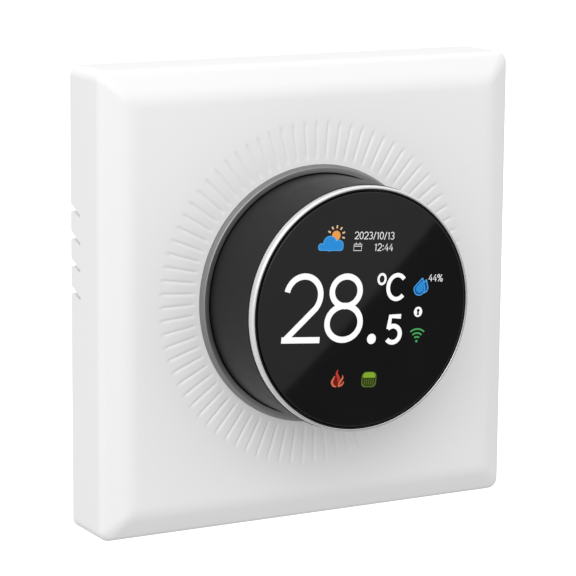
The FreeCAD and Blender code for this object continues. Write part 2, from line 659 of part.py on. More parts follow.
def toothed_wire(teeth, half_tooth, low, high):
    """Closed outline of a gear with its first tooth about the +X axis."""
    flank = tooth_flank(teeth, half_tooth, low, high)
    pitch_turn = 2 * math.pi / teeth

    def spot(radius, turn):
        return Vector(radius * math.cos(turn), radius * math.sin(turn), 0)
    edges = []
    for tooth in range(teeth):
        middle = tooth * pitch_turn
        rising = [spot(radius, middle - turn) for radius, turn in flank]
        falling = [spot(radius, middle + turn) for radius, turn in reversed(flank)]
        after = spot(low, middle + pitch_turn - flank[0][1])
        edges.append(Part.BSplineCurve(rising).toShape())
        edges.append(Part.Arc(rising[-1], spot(high, middle), falling[0]).toShape())
        edges.append(Part.BSplineCurve(falling).toShape())
        edges.append(Part.Arc(falling[-1], spot(low, middle + pitch_turn / 2), after).toShape())
    return Part.Wire(edges)


def gear_ring(label, outer, inner, width, placement):
    """A toothed layer between an outer and an inner wire."""
    gear = document.addObject("Part::Feature", label)
    gear.Shape = Part.makeFace([outer, inner], "Part::FaceMakerBullseye").extrude(Vector(0, 0, value(width)))
    gear.Placement = placement
    return keep(gear, label)


def build_gears():
    """Internal ring gear in the sleeve and the pinion on the encoder's spindle."""
    module = value("gear_module")
    ring_teeth, pinion_teeth = count("ring_teeth"), count("pinion_teeth")
    ring_pitch, pinion_pitch = module * ring_teeth / 2, module * pinion_teeth / 2
    quarter_tooth = math.pi * module / 4
    play = value("tooth_play")
    facing_room = Rotation(Vector(1, 0, 0), 90)
    space = toothed_wire(ring_teeth, (quarter_tooth + play) / ring_pitch,
                         ring_pitch - value("gear_tip"), ring_pitch + value("gear_root"))
    rim = Part.Wire(Part.makeCircle(value("ring_skin")))
    upright = Rotation(Vector(0, 0, 1), 90)
    gear_ring("ring_gear", rim, space, "ring_front - ring_back",
              Placement(Vector(0, -value("ring_back"), 0), facing_room * upright))
    teeth = toothed_wire(pinion_teeth, (quarter_tooth - play) / pinion_pitch,
                         pinion_pitch - value("gear_root"), pinion_pitch + value("gear_tip"))
    bore = Part.Wire(Part.makeCircle(value("spindle_skin + spindle_fit")))
    centre = Vector(0, -value("pinion_back"), value(GEAR_DISTANCE))
    gear_ring("pinion_gear", teeth, bore, "pinion_front - pinion_back",
              Placement(centre, facing_room * upright))


def build_encoder():
    """Rotary encoder on the control board and its spindle."""
    body = new_body("encoder_body")
    slab(body, "control_front", "encoder_front", block_at("0", GEAR_DISTANCE, "encoder_half", "encoder_half"))
    sink(body, "encoder_floor", "encoder_front + overrun", discs([("0", GEAR_DISTANCE)], "encoder_bore"))
    slab(new_body("encoder_spindle"), "spindle_back", "spindle_front",
         discs([("0", GEAR_DISTANCE)], "spindle_skin"))


def build_press_switch():
    """Push switch under the middle of the knob and its plunger."""
    body = new_body("switch_body")
    slab(body, "control_front", "switch_front", block_at("0", "0", "switch_half", "switch_half"))
    sink(body, "switch_floor", "switch_front + overrun", discs([("0", "0")], "switch_bore"))
    slab(new_body("switch_plunger"), "plunger_back", "plunger_front", discs([("0", "0")], "plunger_skin"))


def build_chassis():
    """Plate screwed into the cover that guides the knob's legs and carries the control board."""
    body = new_body("chassis")
    slab(body, "chassis_back", "chassis_front",
         lambda sketch: soft_square(sketch, "chassis_half", "chassis_corner"))
    slab(body, "chassis_front", "collar_front", discs(LEG_SPOTS, "collar_skin"))
    slab(body, "control_front", "chassis_back", discs(SPACER_SPOTS, "spacer_skin"))
    sink(body, "control_front", "chassis_front - spacer_floor", discs(SPACER_SPOTS, "spacer_pilot"))
    sink(body, "chassis_back - overrun", "collar_front + overrun", discs(LEG_SPOTS, "chassis_guide"))
    sink(body, "chassis_back - overrun", "chassis_front + overrun", discs(CHASSIS_SPOTS, "chassis_hole"))
    for across, up, half_x, half_z in (
        ("0", "0", "switch_window", "switch_window"),
        ("0", GEAR_DISTANCE, "encoder_window", "encoder_window"),
        ("0", "-(ribbon_window_low + ribbon_window_high) / 2", "ribbon_window_half",
         "(ribbon_window_low - ribbon_window_high) / 2"),
    ):
        sink(body, "chassis_back - overrun", "chassis_front + overrun", block_at(across, up, half_x, half_z))


def build_control_board():
    """Main board, with holes for the screws that pass it and notches beside the wall box screws."""
    body = new_body("control_board")
    slab(body, "control_back", "control_front",
         lambda sketch: soft_square(sketch, "control_half", "control_corner"))
    holes = ((SPACER_SPOTS, "control_hole"), (CHASSIS_SPOTS, "access_hole"), (LEG_SPOTS, "stop_hole"))
    for spots, radius in holes:
        sink(body, "control_back - overrun", "control_front + overrun", discs(spots, radius))

    def notches(sketch):
        for sign in ("-", ""):
            box_outline(sketch, f"{sign}(control_half + overrun)", "-notch_half",
                        f"{sign}notch_inner", "notch_half")
    sink(body, "control_back - overrun", "control_front + overrun", notches)


def build_board_parts():
    """Parts soldered to the control board."""
    slab(new_body("ribbon_connector"), "control_front", "control_front + connector_tall",
         lambda sketch: box_outline(sketch, "-socket_half", "-socket_low", "socket_half", "-socket_high"))
    slab(new_body("processor_chip"), "control_back - chip_tall", "control_back",
         block_at("chip_x", "chip_z", "chip_half", "chip_half"))
    slab(new_body("radio_module"), "control_back - radio_board", "control_back",
         block_at("radio_x", "radio_z", "radio_half_x", "radio_half_z"))
    shield = new_body("radio_shield")
    shield_back = "control_back - radio_board - shield_tall"
    slab(shield, shield_back, "control_back - radio_board",
         block_at("shield_x", "radio_z", "shield_half_x", "shield_half_z"))
    sink(shield, f"{shield_back} + shield_wall", "control_back",
         block_at("shield_x", "radio_z", "shield_half_x - shield_wall", "shield_half_z - shield_wall"))


def build_pin_header():
    """Row of pins on the control board that plugs into the socket on the power board."""
    def pins(half):
        def draw(sketch):
            for place in range(count("pin_count")):
                middle = f"(({place} + 0.5) * pin_pitch - header_half)"
                block_at(middle, "header_z", half, half)(sketch)
        return draw
    header = new_body("pin_header")
    base = "control_back - header_tall"
    slab(header, base, "control_back", block_at("0", "header_z", "header_half", "header_half_z"))
    slab(header, f"{base} - pin_reach", base, pins("pin_half"))
    socket = new_body("pin_socket")
    socket_front = f"{base} - socket_lift"
    slab(socket, "power_front", socket_front, block_at("0", "header_z", "header_half", "header_half_z"))
    sink(socket, f"{base} - pin_reach - socket_gap", "control_back", pins("(pin_half + pin_play)"))


def build_climate_sensor():
    """Small upright board behind the side vents, its sensor and the link to the control board."""
    slab(new_body("sensor_board"), "sense_back", "sense_front",
         lambda sketch: box_outline(sketch, "-sense_outer", "sense_low", "-sense_inner", "sense_high"))
    low = "sense_chip_out - sense_chip_half"
    slab(new_body("climate_sensor"), low, "sense_chip_out + sense_chip_half",
         lambda sketch: box_outline(sketch, "-sense_outer - sense_chip_tall",
                                    "sense_chip_z - sense_chip_half",
                                    "-sense_outer", "sense_chip_z + sense_chip_half"))
    slab(new_body("sensor_link"), "control_front", "control_front + link_tall",
         lambda sketch: box_outline(sketch, "-sense_inner", "link_low", "-link_inner", "link_high"))


def build_display_ribbon():
    """Flat flexible lead from the display board to the control board, slightly bowed."""
    body = new_body("display_ribbon")
    top, foot = "board_back - socket_tall", "control_front + connector_tall"
    span = f"({top} - ({foot}))"
    stations = [("0", "0"), ("0.25", "0"), ("0.5", "1"), ("0.75", "0"), ("1", "0")]

    def edge(side):
        return [(f"-({foot} + {span} * {share})", f"-ribbon_z + ribbon_bow * {bow} {side} ribbon_thick / 2")
                for share, bow in stations]
    sketch = sketch_on(body, "YZ_Plane", "-ribbon_half")
    outline(sketch, edge("-") + edge("+")[::-1])
    pad(body, sketch, "2 * ribbon_half")


def build_rear_housing():
    """Flange that the wall box screws hold, with the deep box behind it."""
    body = new_body("rear_housing")
    slab(body, "-box_deep", "0", lambda sketch: soft_square(sketch, "box_half", "box_corner"))
    slab(body, "0", "flange_front", lambda sketch: soft_square(sketch, "flange_half", "flange_corner"))
    sink(body, "-box_deep + box_wall", "flange_front + overrun",
         lambda sketch: soft_square(sketch, "box_half - box_wall", "box_corner / 2"))
    slab(body, "-box_deep + box_wall", "power_back", discs(PILLAR_SPOTS, "pillar_skin"))
    sink(body, "power_tip - overrun", "power_back", discs(PILLAR_SPOTS, "pillar_pilot"))

    def windows(sketch):
        box_outline(sketch, "-block_window", "-box_half - overrun", "block_window", "block_window_top")
    sink(body, "-box_deep - overrun", "-block_window_out", windows)

    def slots(sketch):
        for sign in ("-", ""):
            slot_outline(sketch, f"{sign}slot_x", "slot_length", "slot_half")
    sink(body, "-1", "flange_front + overrun", slots)

    def ledges(sketch):
        for x in ("-hook_x", "hook_x"):
            for sign in ("-", ""):
                box_outline(sketch, f"{x} - hook_half - hook_play", f"{sign}(flange_half + overrun)",
                            f"{x} + hook_half + hook_play", f"{sign}(flange_half - flange_notch)")
    sink(body, "-1", "flange_ledge", ledges)


def slot_outline(sketch, middle, length, half):
    """Adds one slot that runs across, with round ends."""
    first = sketch.GeometryCount
    reach = value(length) / 2 - value(half)
    centre, radius = value(middle), value(half)
    ends = ((centre - reach, math.pi / 2), (centre + reach, -math.pi / 2))
    for spot, start in ends:
        circle = Part.Circle(Vector(spot, 0, 0), Vector(0, 0, 1), radius)
        sketch.addGeometry(Part.ArcOfCircle(circle, start, start + math.pi))
    low, high = Vector(0, -radius, 0), Vector(0, radius, 0)
    left, right = Vector(centre - reach, 0, 0), Vector(centre + reach, 0, 0)
    sketch.addGeometry(Part.LineSegment(left + low, right + low))
    sketch.addGeometry(Part.LineSegment(right + high, left + high))
    joins = ((first, 2, first + 2, 1), (first + 2, 2, first + 1, 1),
             (first + 1, 2, first + 3, 1), (first + 3, 2, first, 1))
    for join in joins:
        sketch.addConstraint(Sketcher.Constraint("Tangent", *join))
    hold_point(sketch, first, 3, f"{middle} - ({length} / 2 - {half})", "0")
    hold_point(sketch, first + 1, 3, f"{middle} + ({length} / 2 - {half})", "0")
    hold_size(sketch, "Radius", first, half)


def build_power_board():
    """Mains board in the rear housing and the insulating barrier in front of it."""
    board = new_body("power_board")
    slab(board, "power_back", "power_front",
         lambda sketch: box_outline(sketch, "-power_half", "-power_half", "power_half", "power_half"))
    sink(board, "power_back - overrun", "power_front + overrun", discs(PILLAR_SPOTS, "power_hole"))
    barrier = new_body("barrier_plate")
    slab(barrier, "barrier_back", "barrier_front",
         lambda sketch: soft_square(sketch, "barrier_half", "barrier_corner"))
    slab(barrier, "power_front", "barrier_back", discs(PILLAR_SPOTS, "barrier_leg"))
    sink(barrier, "power_front - overrun", "barrier_front + overrun", discs(PILLAR_SPOTS, "barrier_hole"))
    sink(barrier, "barrier_back - overrun", "barrier_front + overrun",
         block_at("0", "header_z", "barrier_window", "barrier_window_half"))


def build_power_parts():
    """Relay, transformer, capacitors, surge disc and fuse behind the power board."""
    relay = new_body("relay")
    case = slab(relay, "power_back - relay_tall", "power_back",
                block_at("relay_x", "relay_z", "relay_half_x", "relay_half_z"))
    soften(relay, case, "relay_soft", runs_out)
    transformer = new_body("transformer")
    slab(transformer, "power_back - core_tall", "power_back",
         block_at("core_x", "core_z", "core_half_x", "core_half_z"))
    slab(transformer, "power_back - winding_back - winding_tall", "power_back - winding_back",
         block_at("core_x", "core_z", "winding_half_x", "winding_half_z"))
    can = new_body("filter_capacitor")
    drum = slab(can, "power_back - can_tall", "power_back", discs([("can_x", "can_z")], "can_skin"))
    soften(can, drum, "can_bead", lambda edge: flat_at(edge, value("power_back - can_tall")))
    film = new_body("film_capacitor")
    case = slab(film, "power_back - film_tall", "power_back",
                block_at("film_x", "film_z", "film_half_x", "film_half_z"))
    soften(film, case, "film_soft", runs_out)


def build_surge_disc():
    """Coated disc on two wire legs."""
    body = new_body("varistor")
    sketch = sketch_on(body, "XY_Plane", "disc_z - disc_half")
    disc_outline(sketch, "disc_x", "-(power_back - disc_lead - disc_skin)", "disc_skin")
    pad(body, sketch, "2 * disc_half")
    legs = [("disc_x - disc_leg_x", "disc_z"), ("disc_x + disc_leg_x", "disc_z")]
    slab(body, "power_back - disc_lead - disc_skin / 2", "power_back", discs(legs, "disc_leg"))


def build_fuse():
    """Cartridge fuse lying across the board on two wire legs."""
    body = new_body("fuse")
    axis_out = "-(power_back - fuse_lift)"
    parts = (("fuse_x - fuse_half", "2 * fuse_half", "fuse_skin"),
             ("fuse_x - fuse_leg_x", "2 * fuse_leg_x", "fuse_leg"),
             ("fuse_x - fuse_half", "fuse_cap", "fuse_cap_skin"),
             ("fuse_x + fuse_half - fuse_cap", "fuse_cap", "fuse_cap_skin"))
    for start, length, radius in parts:
        sketch = sketch_on(body, "YZ_Plane", start)
        disc_outline(sketch, axis_out, "fuse_z", radius)
        pad(body, sketch, length)
    legs = [("fuse_x - fuse_leg_x + fuse_leg", "fuse_z"), ("fuse_x + fuse_leg_x - fuse_leg", "fuse_z")]
    slab(body, "power_back - fuse_lift", "power_back", discs(legs, "fuse_leg"))


def pole_middles():
    """Places of the terminals across the block."""
    return [f"(({pole} + 0.5) * pole_pitch - block_half)" for pole in range(count("pole_count"))]


def pole_blocks(half, low, high):
    """A drawing of one rectangle at each terminal."""
    return lambda sketch: [box_outline(sketch, f"{middle} - {half}", low, f"{middle} + {half}", high)
                           for middle in pole_middles()]


def build_terminal_block():
    """Terminal strip: wires enter from below, and the screws are turned from behind."""
    body = new_body("terminal_block")
    slab(body, "block_back", "block_front",
         lambda sketch: box_outline(sketch, "-block_half", "block_low", "block_half", "block_high"))
    sink(body, "cell_back", "cell_front", pole_blocks("cell_half", "block_low + entry_deep", "cell_high"))
    spots = [(middle, "turn_z") for middle in pole_middles()]
    sink(body, "block_back - overrun", "cell_back", discs(spots, "turn_bore"))
    entries = sketch_on(body, "XY_Plane", "block_low - overrun")
    for middle in pole_middles():
        disc_outline(entries, middle, "-entry_out", "entry_bore")
    pocket(body, entries, "entry_deep + entry_lead", forward=True)
    cages = new_body("terminal_clamps")
    slab(cages, "cage_back", "cage_front", pole_blocks("cage_half", "cage_low", "cage_high"))
    sink(cages, "entry_out - cage_way", "entry_out + cage_way",
         pole_blocks("cage_way", "cage_low - overrun", "cage_high + overrun"))
    sink(cages, "cage_back - overrun", "entry_out", discs(spots, "clamp_hole"))
    bolts = new_body("terminal_screws")
    slab(bolts, "bolt_head_back", "bolt_head_front", discs(spots, "bolt_head"))
    slab(bolts, "bolt_head_front", "bolt_tip", discs(spots, "bolt_shank"))
    sink(bolts, "bolt_head_back - overrun", "bolt_head_back + bolt_slot_deep",
         pole_blocks("(bolt_head + bolt_slot_over)", "turn_z - bolt_slot_half", "turn_z + bolt_slot_half"))


def build_screws(label, spots, seat, kind):
    """A set of cross-head screws driven from behind, with their heads against a seat."""
    body = new_body(label)
    head_back = f"{seat} - {kind}_head_tall"
    slab(body, head_back, seat, discs(spots, f"{kind}_head"))
    slab(body, seat, f"{kind}_tip", discs(spots, f"{kind}_shank"))
    for half_x, half_z in (("cross_half", "cross_reach"), ("cross_reach", "cross_half")):
        def draw(sketch):
            for across, up in spots:
                block_at(across, up, half_x, half_z)(sketch)
        sink(body, f"{head_back} - overrun", f"{head_back} + cross_deep", draw)


def build_power_screws():
    """Long screws from the front through barrier and power board into the housing's pillars."""
    body = new_body("power_screws")
    head_front = "barrier_front + power_head_tall"
    slab(body, "barrier_front", head_front, discs(PILLAR_SPOTS, "power_head"))
    slab(body, "power_tip", "barrier_front", discs(PILLAR_SPOTS, "power_shank"))
    for half_x, half_z in (("cross_half", "cross_reach"), ("cross_reach", "cross_half")):
        def draw(sketch):
            for across, up in PILLAR_SPOTS:
                block_at(across, up, half_x, half_z)(sketch)
        sink(body, f"{head_front} - cross_deep", f"{head_front} + overrun", draw)


def build_all():
    """Builds every sub-part in the order in which the thermostat is put together."""
    build_front_cover()
    build_trim_ring()
    build_knob_sleeve()
    build_bezel_ring()
    build_lens()
    build_display()
    build_display_carrier()
    build_knob_clip()
    build_carriage_plate()
    build_return_springs()
    build_gears()
    build_encoder()
    build_press_switch()
    build_chassis()
    build_control_board()
    build_board_parts()
    build_pin_header()
    build_climate_sensor()
    build_display_ribbon()
    build_rear_housing()
    build_power_board()
    build_power_parts()
    build_surge_disc()
    build_fuse()
    build_terminal_block()
    build_screws("chassis_screws", CHASSIS_SPOTS, "chassis_back", "chassis")
    build_screws("control_board_screws", SPACER_SPOTS, "control_back", "control")
    build_screws("carriage_screws", PLATE_SCREW_SPOTS, "drum_back", "plate")
    build_screws("stop_screws", LEG_SPOTS, "leg_back", "stop")
    build_screws("display_board_screws", DISPLAY_SCREW_SPOTS, "board_back", "display")
    build_power_screws()


def export_all():
    """Checks every object and writes one file per sub-part."""
    document.recompute()
    for item in document.Objects:
        if "Invalid" in item.State or "Error" in item.State:
            raise RuntimeError(f"{item.Label} failed: {item.State}")
    for node in nodes:
        if node.Shape.isNull() or not node.Shape.isValid():
            raise RuntimeError(f"{node.Label} has no valid shape")
    os.makedirs("parts", exist_ok=True)
    for node in nodes:
        node.Shape.exportStep(os.path.join("parts", f"{node.Label}.step"))
        print(f"{node.Label}: {len(node.Shape.Solids)} solid(s), {node.Shape.Volume:.1f} mm3")


fill_sheet()
build_all()
export_all()
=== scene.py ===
"""Wall thermostat: fine meshes, finishes, studio and camera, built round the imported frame.

Sizes are in millimetres unless a name says otherwise; MM turns them into metres.
"Out" is the distance in front of the wall plane, so a point's y is minus its out.
"""
import json
import logging
import math
from dataclasses import dataclass, field
from enum import Enum
from typing import Callable, Optional, Sequence, Union

import bmesh
import bpy
from mathutils import Matrix, Vector


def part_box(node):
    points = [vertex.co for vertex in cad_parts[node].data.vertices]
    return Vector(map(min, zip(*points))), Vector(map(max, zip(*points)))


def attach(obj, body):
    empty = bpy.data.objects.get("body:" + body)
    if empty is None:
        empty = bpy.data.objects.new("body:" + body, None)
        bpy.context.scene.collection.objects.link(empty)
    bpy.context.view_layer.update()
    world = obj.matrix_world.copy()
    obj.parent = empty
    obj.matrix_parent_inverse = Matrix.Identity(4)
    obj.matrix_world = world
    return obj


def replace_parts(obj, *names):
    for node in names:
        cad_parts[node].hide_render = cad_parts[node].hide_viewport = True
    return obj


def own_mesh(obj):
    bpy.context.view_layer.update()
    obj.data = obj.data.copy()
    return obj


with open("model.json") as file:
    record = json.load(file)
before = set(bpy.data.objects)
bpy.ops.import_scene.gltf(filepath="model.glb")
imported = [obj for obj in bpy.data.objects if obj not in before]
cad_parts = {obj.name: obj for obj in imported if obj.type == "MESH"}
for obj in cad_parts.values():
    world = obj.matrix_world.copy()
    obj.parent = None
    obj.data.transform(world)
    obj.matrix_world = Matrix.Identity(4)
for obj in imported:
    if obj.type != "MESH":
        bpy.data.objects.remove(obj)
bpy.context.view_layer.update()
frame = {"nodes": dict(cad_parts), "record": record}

logging.basicConfig(level=logging.INFO, format="%(message)s")
log = logging.getLogger("thermostat")

MM = 0.001
TURN = 2 * math.pi
FRONT_NODE = "front_cover"
WELD = 1e-7  # points of a mesh that are nearer than this, in metres, are one point
FINE_EDGE = 0.05  # broken edge of a thin turned or moulded lip
SMALL_EDGE = 0.1  # broken edge of a moulded wall
HAIR = 0.02  # smallest step between two surfaces that meet
Pair = tuple[float, float]
Colour = tuple[float, float, float]


class Body(Enum):
    """The moving groups of the thermostat."""

    FIXED = "root"
    CARRIAGE = "carriage"
    KNOB = "knob"


class Slot(Enum):
    """The record's material slots that new pieces take their finish from."""

    COVER = "cover_white"
    TRIM = "trim_satin"
    KNOB = "knob_black"
    BEZEL = "bezel_chrome"
    LENS = "lens_black"
    PICTURE = "display_dark"
    HOUSING = "housing_white"
    TERMINALS = "terminal_green"
    SPRING = "spring_steel"


def node_front(name: str) -> float:
    """How far out a CAD node reaches, in millimetres."""
    return -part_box(name)[0].y / MM


def node_back(name: str) -> float:
    """How far out a CAD node starts, in millimetres."""
    return -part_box(name)[1].y / MM


def node_radius(name: str) -> float:
    """Half of a CAD node's width, in millimetres."""
    low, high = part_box(name)
    return (high.x - low.x) / 2 / MM


def place(across: float, out: float, up: float) -> Vector:
    """A point of the frame in metres.

    Args:
        across: distance to the right of the middle, in millimetres.
        out: distance in front of the wall plane, in millimetres.
        up: height above the middle, in millimetres.

    Returns:
        The point as a vector in metres.
    """
    return Vector((across * MM, -out * MM, up * MM))


# ---------------------------------------------------------------- finishes


class NodeTree:
    """A short way to write a material's nodes."""

    def __init__(self, name: str) -> None:
        """Makes an empty material with a Principled shader and its output.

        Args:
            name: the material's name.
        """
        self.material = bpy.data.materials.new(name)
        self.material.use_nodes = True
        self.tree = self.material.node_tree
        self.tree.nodes.clear()
        self.shader = self.add("ShaderNodeBsdfPrincipled")
        output = self.add("ShaderNodeOutputMaterial")
        self.link(self.shader.outputs["BSDF"], output.inputs["Surface"])
        self.spot = self.add("ShaderNodeTexCoord").outputs["Object"]

    def add(self, kind: str, **settings: object) -> bpy.types.Node:
        """Adds a node and sets its properties by name.

        Args:
            kind: Blender's name for the kind of node.
            **settings: the node's properties.

        Returns:
            The node.
        """
        node = self.tree.nodes.new(kind)
        for key, setting in settings.items():
            setattr(node, key, setting)
        return node

    def link(self, start: bpy.types.NodeSocket, end: bpy.types.NodeSocket) -> None:
        """Joins two sockets."""
        self.tree.links.new(start, end)

    def noise(self, size_mm: float, detail: float, stretch: Colour = (1, 1, 1)) -> bpy.types.NodeSocket:
        """Noise whose features are about size_mm across.

        Args:
            size_mm: the size of one feature, in millimetres.
            detail: how many finer layers are added.
            stretch: scale along each axis.

        Returns:
            The noise value's socket.
        """
        mapping = self.add("ShaderNodeMapping")
        mapping.inputs["Scale"].default_value = stretch
        self.link(self.spot, mapping.inputs["Vector"])
        noise = self.add("ShaderNodeTexNoise")
        noise.inputs["Scale"].default_value = 1 / (size_mm * MM)
        noise.inputs["Detail"].default_value = detail
        self.link(mapping.outputs["Vector"], noise.inputs["Vector"])
        return noise.outputs["Fac"]

    def remap(self, source: bpy.types.NodeSocket, low: float, high: float,
              from_low: float = 0.3, from_high: float = 0.7) -> bpy.types.NodeSocket:
        """Maps a value to a new range.

        Args:
            source: the value's socket.
            low: the new value at from_low.
            high: the new value at from_high.
            from_low: the old range's lower end.
            from_high: the old range's upper end.

        Returns:
            The new value's socket.
        """
        node = self.add("ShaderNodeMapRange")
        limits = {"From Min": from_low, "From Max": from_high, "To Min": low, "To Max": high}
        for key, number in limits.items():
            node.inputs[key].default_value = number
        self.link(source, node.inputs["Value"])
        return node.outputs["Result"]

    def blend(self, share: bpy.types.NodeSocket, first: Colour, second: Colour) -> bpy.types.NodeSocket:
        """Mixes two colours by a value.

        Args:
            share: the socket whose value is the second colour's share.
            first: the first colour.
            second: the second colour.

        Returns:
            The mixed colour's socket.
        """
        node = self.add("ShaderNodeMix", data_type="RGBA")
        first_colour, second_colour, mixed = node.inputs[6], node.inputs[7], node.outputs[2]
        first_colour.default_value = (*first, 1)
        second_colour.default_value = (*second, 1)
        self.link(share, node.inputs["Factor"])
        return mixed

    def maths(self, operation: str, first: bpy.types.NodeSocket,
              second: Union[float, bpy.types.NodeSocket, None] = None) -> bpy.types.NodeSocket:
        """One arithmetic step.

        Args:
            operation: Blender's name for the step.
            first: the first value's socket.
            second: the second value, as a number or a socket.

        Returns:
            The result's socket.
        """
        node = self.add("ShaderNodeMath", operation=operation)
        self.link(first, node.inputs[0])
        if isinstance(second, (int, float)):
            node.inputs[1].default_value = second
        elif second is not None:
            self.link(second, node.inputs[1])
        return node.outputs[0]

    def bump(self, height: bpy.types.NodeSocket, depth_mm: float,
             under: Optional[bpy.types.NodeSocket] = None) -> bpy.types.NodeSocket:
        """Surface relief, laid over another one where given.

        Args:
            height: the relief's shape, from 0 to 1.
            depth_mm: its depth in millimetres.
            under: the relief that it lies on.

        Returns:
            The relief's socket.
        """
        node = self.add("ShaderNodeBump")
        node.inputs["Strength"].default_value = 1.0
        node.inputs["Distance"].default_value = depth_mm * MM
        self.link(height, node.inputs["Height"])
        if under is not None:
            self.link(under, node.inputs["Normal"])
        return node.outputs["Normal"]


def shade(colour: Colour, factor: float) -> Colour:
    """The same colour, lighter or darker."""
    return tuple(min(1.0, channel * factor) for channel in colour)


@dataclass(frozen=True)
class Finish:
    """A moulded, printed or coated surface with fine grain, faint mottling and uneven gloss."""

    name: str
    colour: Colour
    roughness: float
    metallic: float = 0.0
    mottle: float = 0.03
    mottle_mm: float = 14.0
    gloss_spread: float = 0.04
    grain_mm: float = 0.35
    grain_deep_mm: float = 0.0015
    coat: float = 0.0
    coat_roughness: float = 0.05
    specular: float = 0.5

    def base(self) -> NodeTree:
        """Shader with its uniform values set on its own sockets."""
        nodes = NodeTree(self.name)
        nodes.material.diffuse_color = (*self.colour, 1)
        sockets = nodes.shader.inputs
        sockets["Metallic"].default_value = self.metallic
        sockets["Coat Weight"].default_value = self.coat
        sockets["Coat Roughness"].default_value = self.coat_roughness
        sockets["Specular IOR Level"].default_value = self.specular
        return nodes

    def body_colour(self) -> Colour:
        """Colour that the surface shows under outside light."""
        return self.colour

    def surface(self, nodes: NodeTree) -> bpy.types.NodeSocket:
        """Adds the colour, gloss and grain that every finish has.

        Args:
            nodes: the material's nodes.

        Returns:
            The grain's socket.
        """
        patches = nodes.remap(nodes.noise(self.mottle_mm, 4), 0, 1)
        body = self.body_colour()
        colour = nodes.blend(patches, shade(body, 1 - self.mottle), shade(body, 1 + self.mottle))
        nodes.link(colour, nodes.shader.inputs["Base Color"])
        wear = nodes.noise(self.mottle_mm / 5, 6)
        gloss = nodes.remap(wear, self.roughness - self.gloss_spread, self.roughness + self.gloss_spread)
        nodes.link(gloss, nodes.shader.inputs["Roughness"])
        return nodes.bump(nodes.noise(self.grain_mm, 5), self.grain_deep_mm)

    def build(self) -> bpy.types.Material:
        """Makes the material."""
        nodes = self.base()
        nodes.link(self.surface(nodes), nodes.shader.inputs["Normal"])
        return nodes.material


@dataclass(frozen=True)
class TurnedMetal(Finish):
    """Metal turned on a lathe: fine rings about the knob's axis over the grain."""

    ring_mm: float = 0.06
    ring_deep_mm: float = 0.0006

    def build(self) -> bpy.types.Material:
        """Makes the material with rings measured from the Y axis."""
        nodes = self.base()
        grain = self.surface(nodes)
        parts = nodes.add("ShaderNodeSeparateXYZ")
        nodes.link(nodes.spot, parts.inputs[0])
        across = nodes.maths("POWER", parts.outputs["X"], 2.0)
        up = nodes.maths("POWER", parts.outputs["Z"], 2.0)
        radius = nodes.maths("SQRT", nodes.maths("ADD", across, up))
        steps = nodes.maths("ADD", radius, parts.outputs["Y"])
        wave = nodes.maths("SINE", nodes.maths("MULTIPLY", steps, TURN / (self.ring_mm * MM)))
        nodes.link(nodes.bump(wave, self.ring_deep_mm, grain), nodes.shader.inputs["Normal"])
        return nodes.material


@dataclass(frozen=True)
class BrushedMetal(Finish):
    """Plated or drawn metal with fine scratches along one direction."""

    stretch: Colour = (1, 14, 14)
    scratch_mm: float = 1.2
    scratch_deep_mm: float = 0.002

    def build(self) -> bpy.types.Material:
        """Makes the material with stretched scratches."""
        nodes = self.base()
        grain = self.surface(nodes)
        scratches = nodes.noise(self.scratch_mm, 6, self.stretch)
        nodes.link(nodes.bump(scratches, self.scratch_deep_mm, grain), nodes.shader.inputs["Normal"])
        return nodes.material


@dataclass(frozen=True)
class Board(Finish):
    """Circuit board: solder mask over tracks, seen as slightly raised, lighter lanes."""

    lane_mm: float = 1.27
    lane_deep_mm: float = 0.03
    lane_lighter: float = 1.7

    def build(self) -> bpy.types.Material:
        """Makes the material with lanes from a cell pattern."""
        nodes = self.base()
        grain = self.surface(nodes)
        cells = nodes.add("ShaderNodeTexVoronoi", feature="DISTANCE_TO_EDGE", distance="CHEBYCHEV")
        cells.inputs["Scale"].default_value = 1 / (self.lane_mm * 2 * MM)
        cells.inputs["Randomness"].default_value = 0.6
        nodes.link(nodes.spot, cells.inputs["Vector"])
        lanes = nodes.remap(cells.outputs["Distance"], 1, 0, 0.05, 0.09)
        colour = nodes.blend(lanes, self.colour, shade(self.colour, self.lane_lighter))
        nodes.link(colour, nodes.shader.inputs["Base Color"])
        nodes.link(nodes.bump(lanes, self.lane_deep_mm, grain), nodes.shader.inputs["Normal"])
        return nodes.material


@dataclass(frozen=True)
class Glow(Finish):
    """Lit part of the display, with a faint grid of picture dots."""

    roughness: float = 0.3
    specular: float = 0.18
    power: float = 1.0
    dot_mm: float = 0.12
    unlit_share: float = 0.05

    def body_colour(self) -> Colour:
        """The unlit picture is nearly black."""
        return shade(self.colour, self.unlit_share)

    def build(self) -> bpy.types.Material:
        """Makes the material with a dot grid in its light."""
        nodes = self.base()
        nodes.link(self.surface(nodes), nodes.shader.inputs["Normal"])
        parts = nodes.add("ShaderNodeSeparateXYZ")
        nodes.link(nodes.spot, parts.inputs[0])
        waves = [nodes.maths("SINE", nodes.maths("MULTIPLY", parts.outputs[axis], TURN / (self.dot_mm * MM)))
                 for axis in ("X", "Z")]
        grid = nodes.maths("MULTIPLY", waves[0], waves[1])
        light = nodes.remap(grid, self.power * 0.95, self.power, -0.4, 0.4)
        nodes.shader.inputs["Emission Color"].default_value = (*self.colour, 1)
        nodes.link(light, nodes.shader.inputs["Emission Strength"])
        return nodes.material


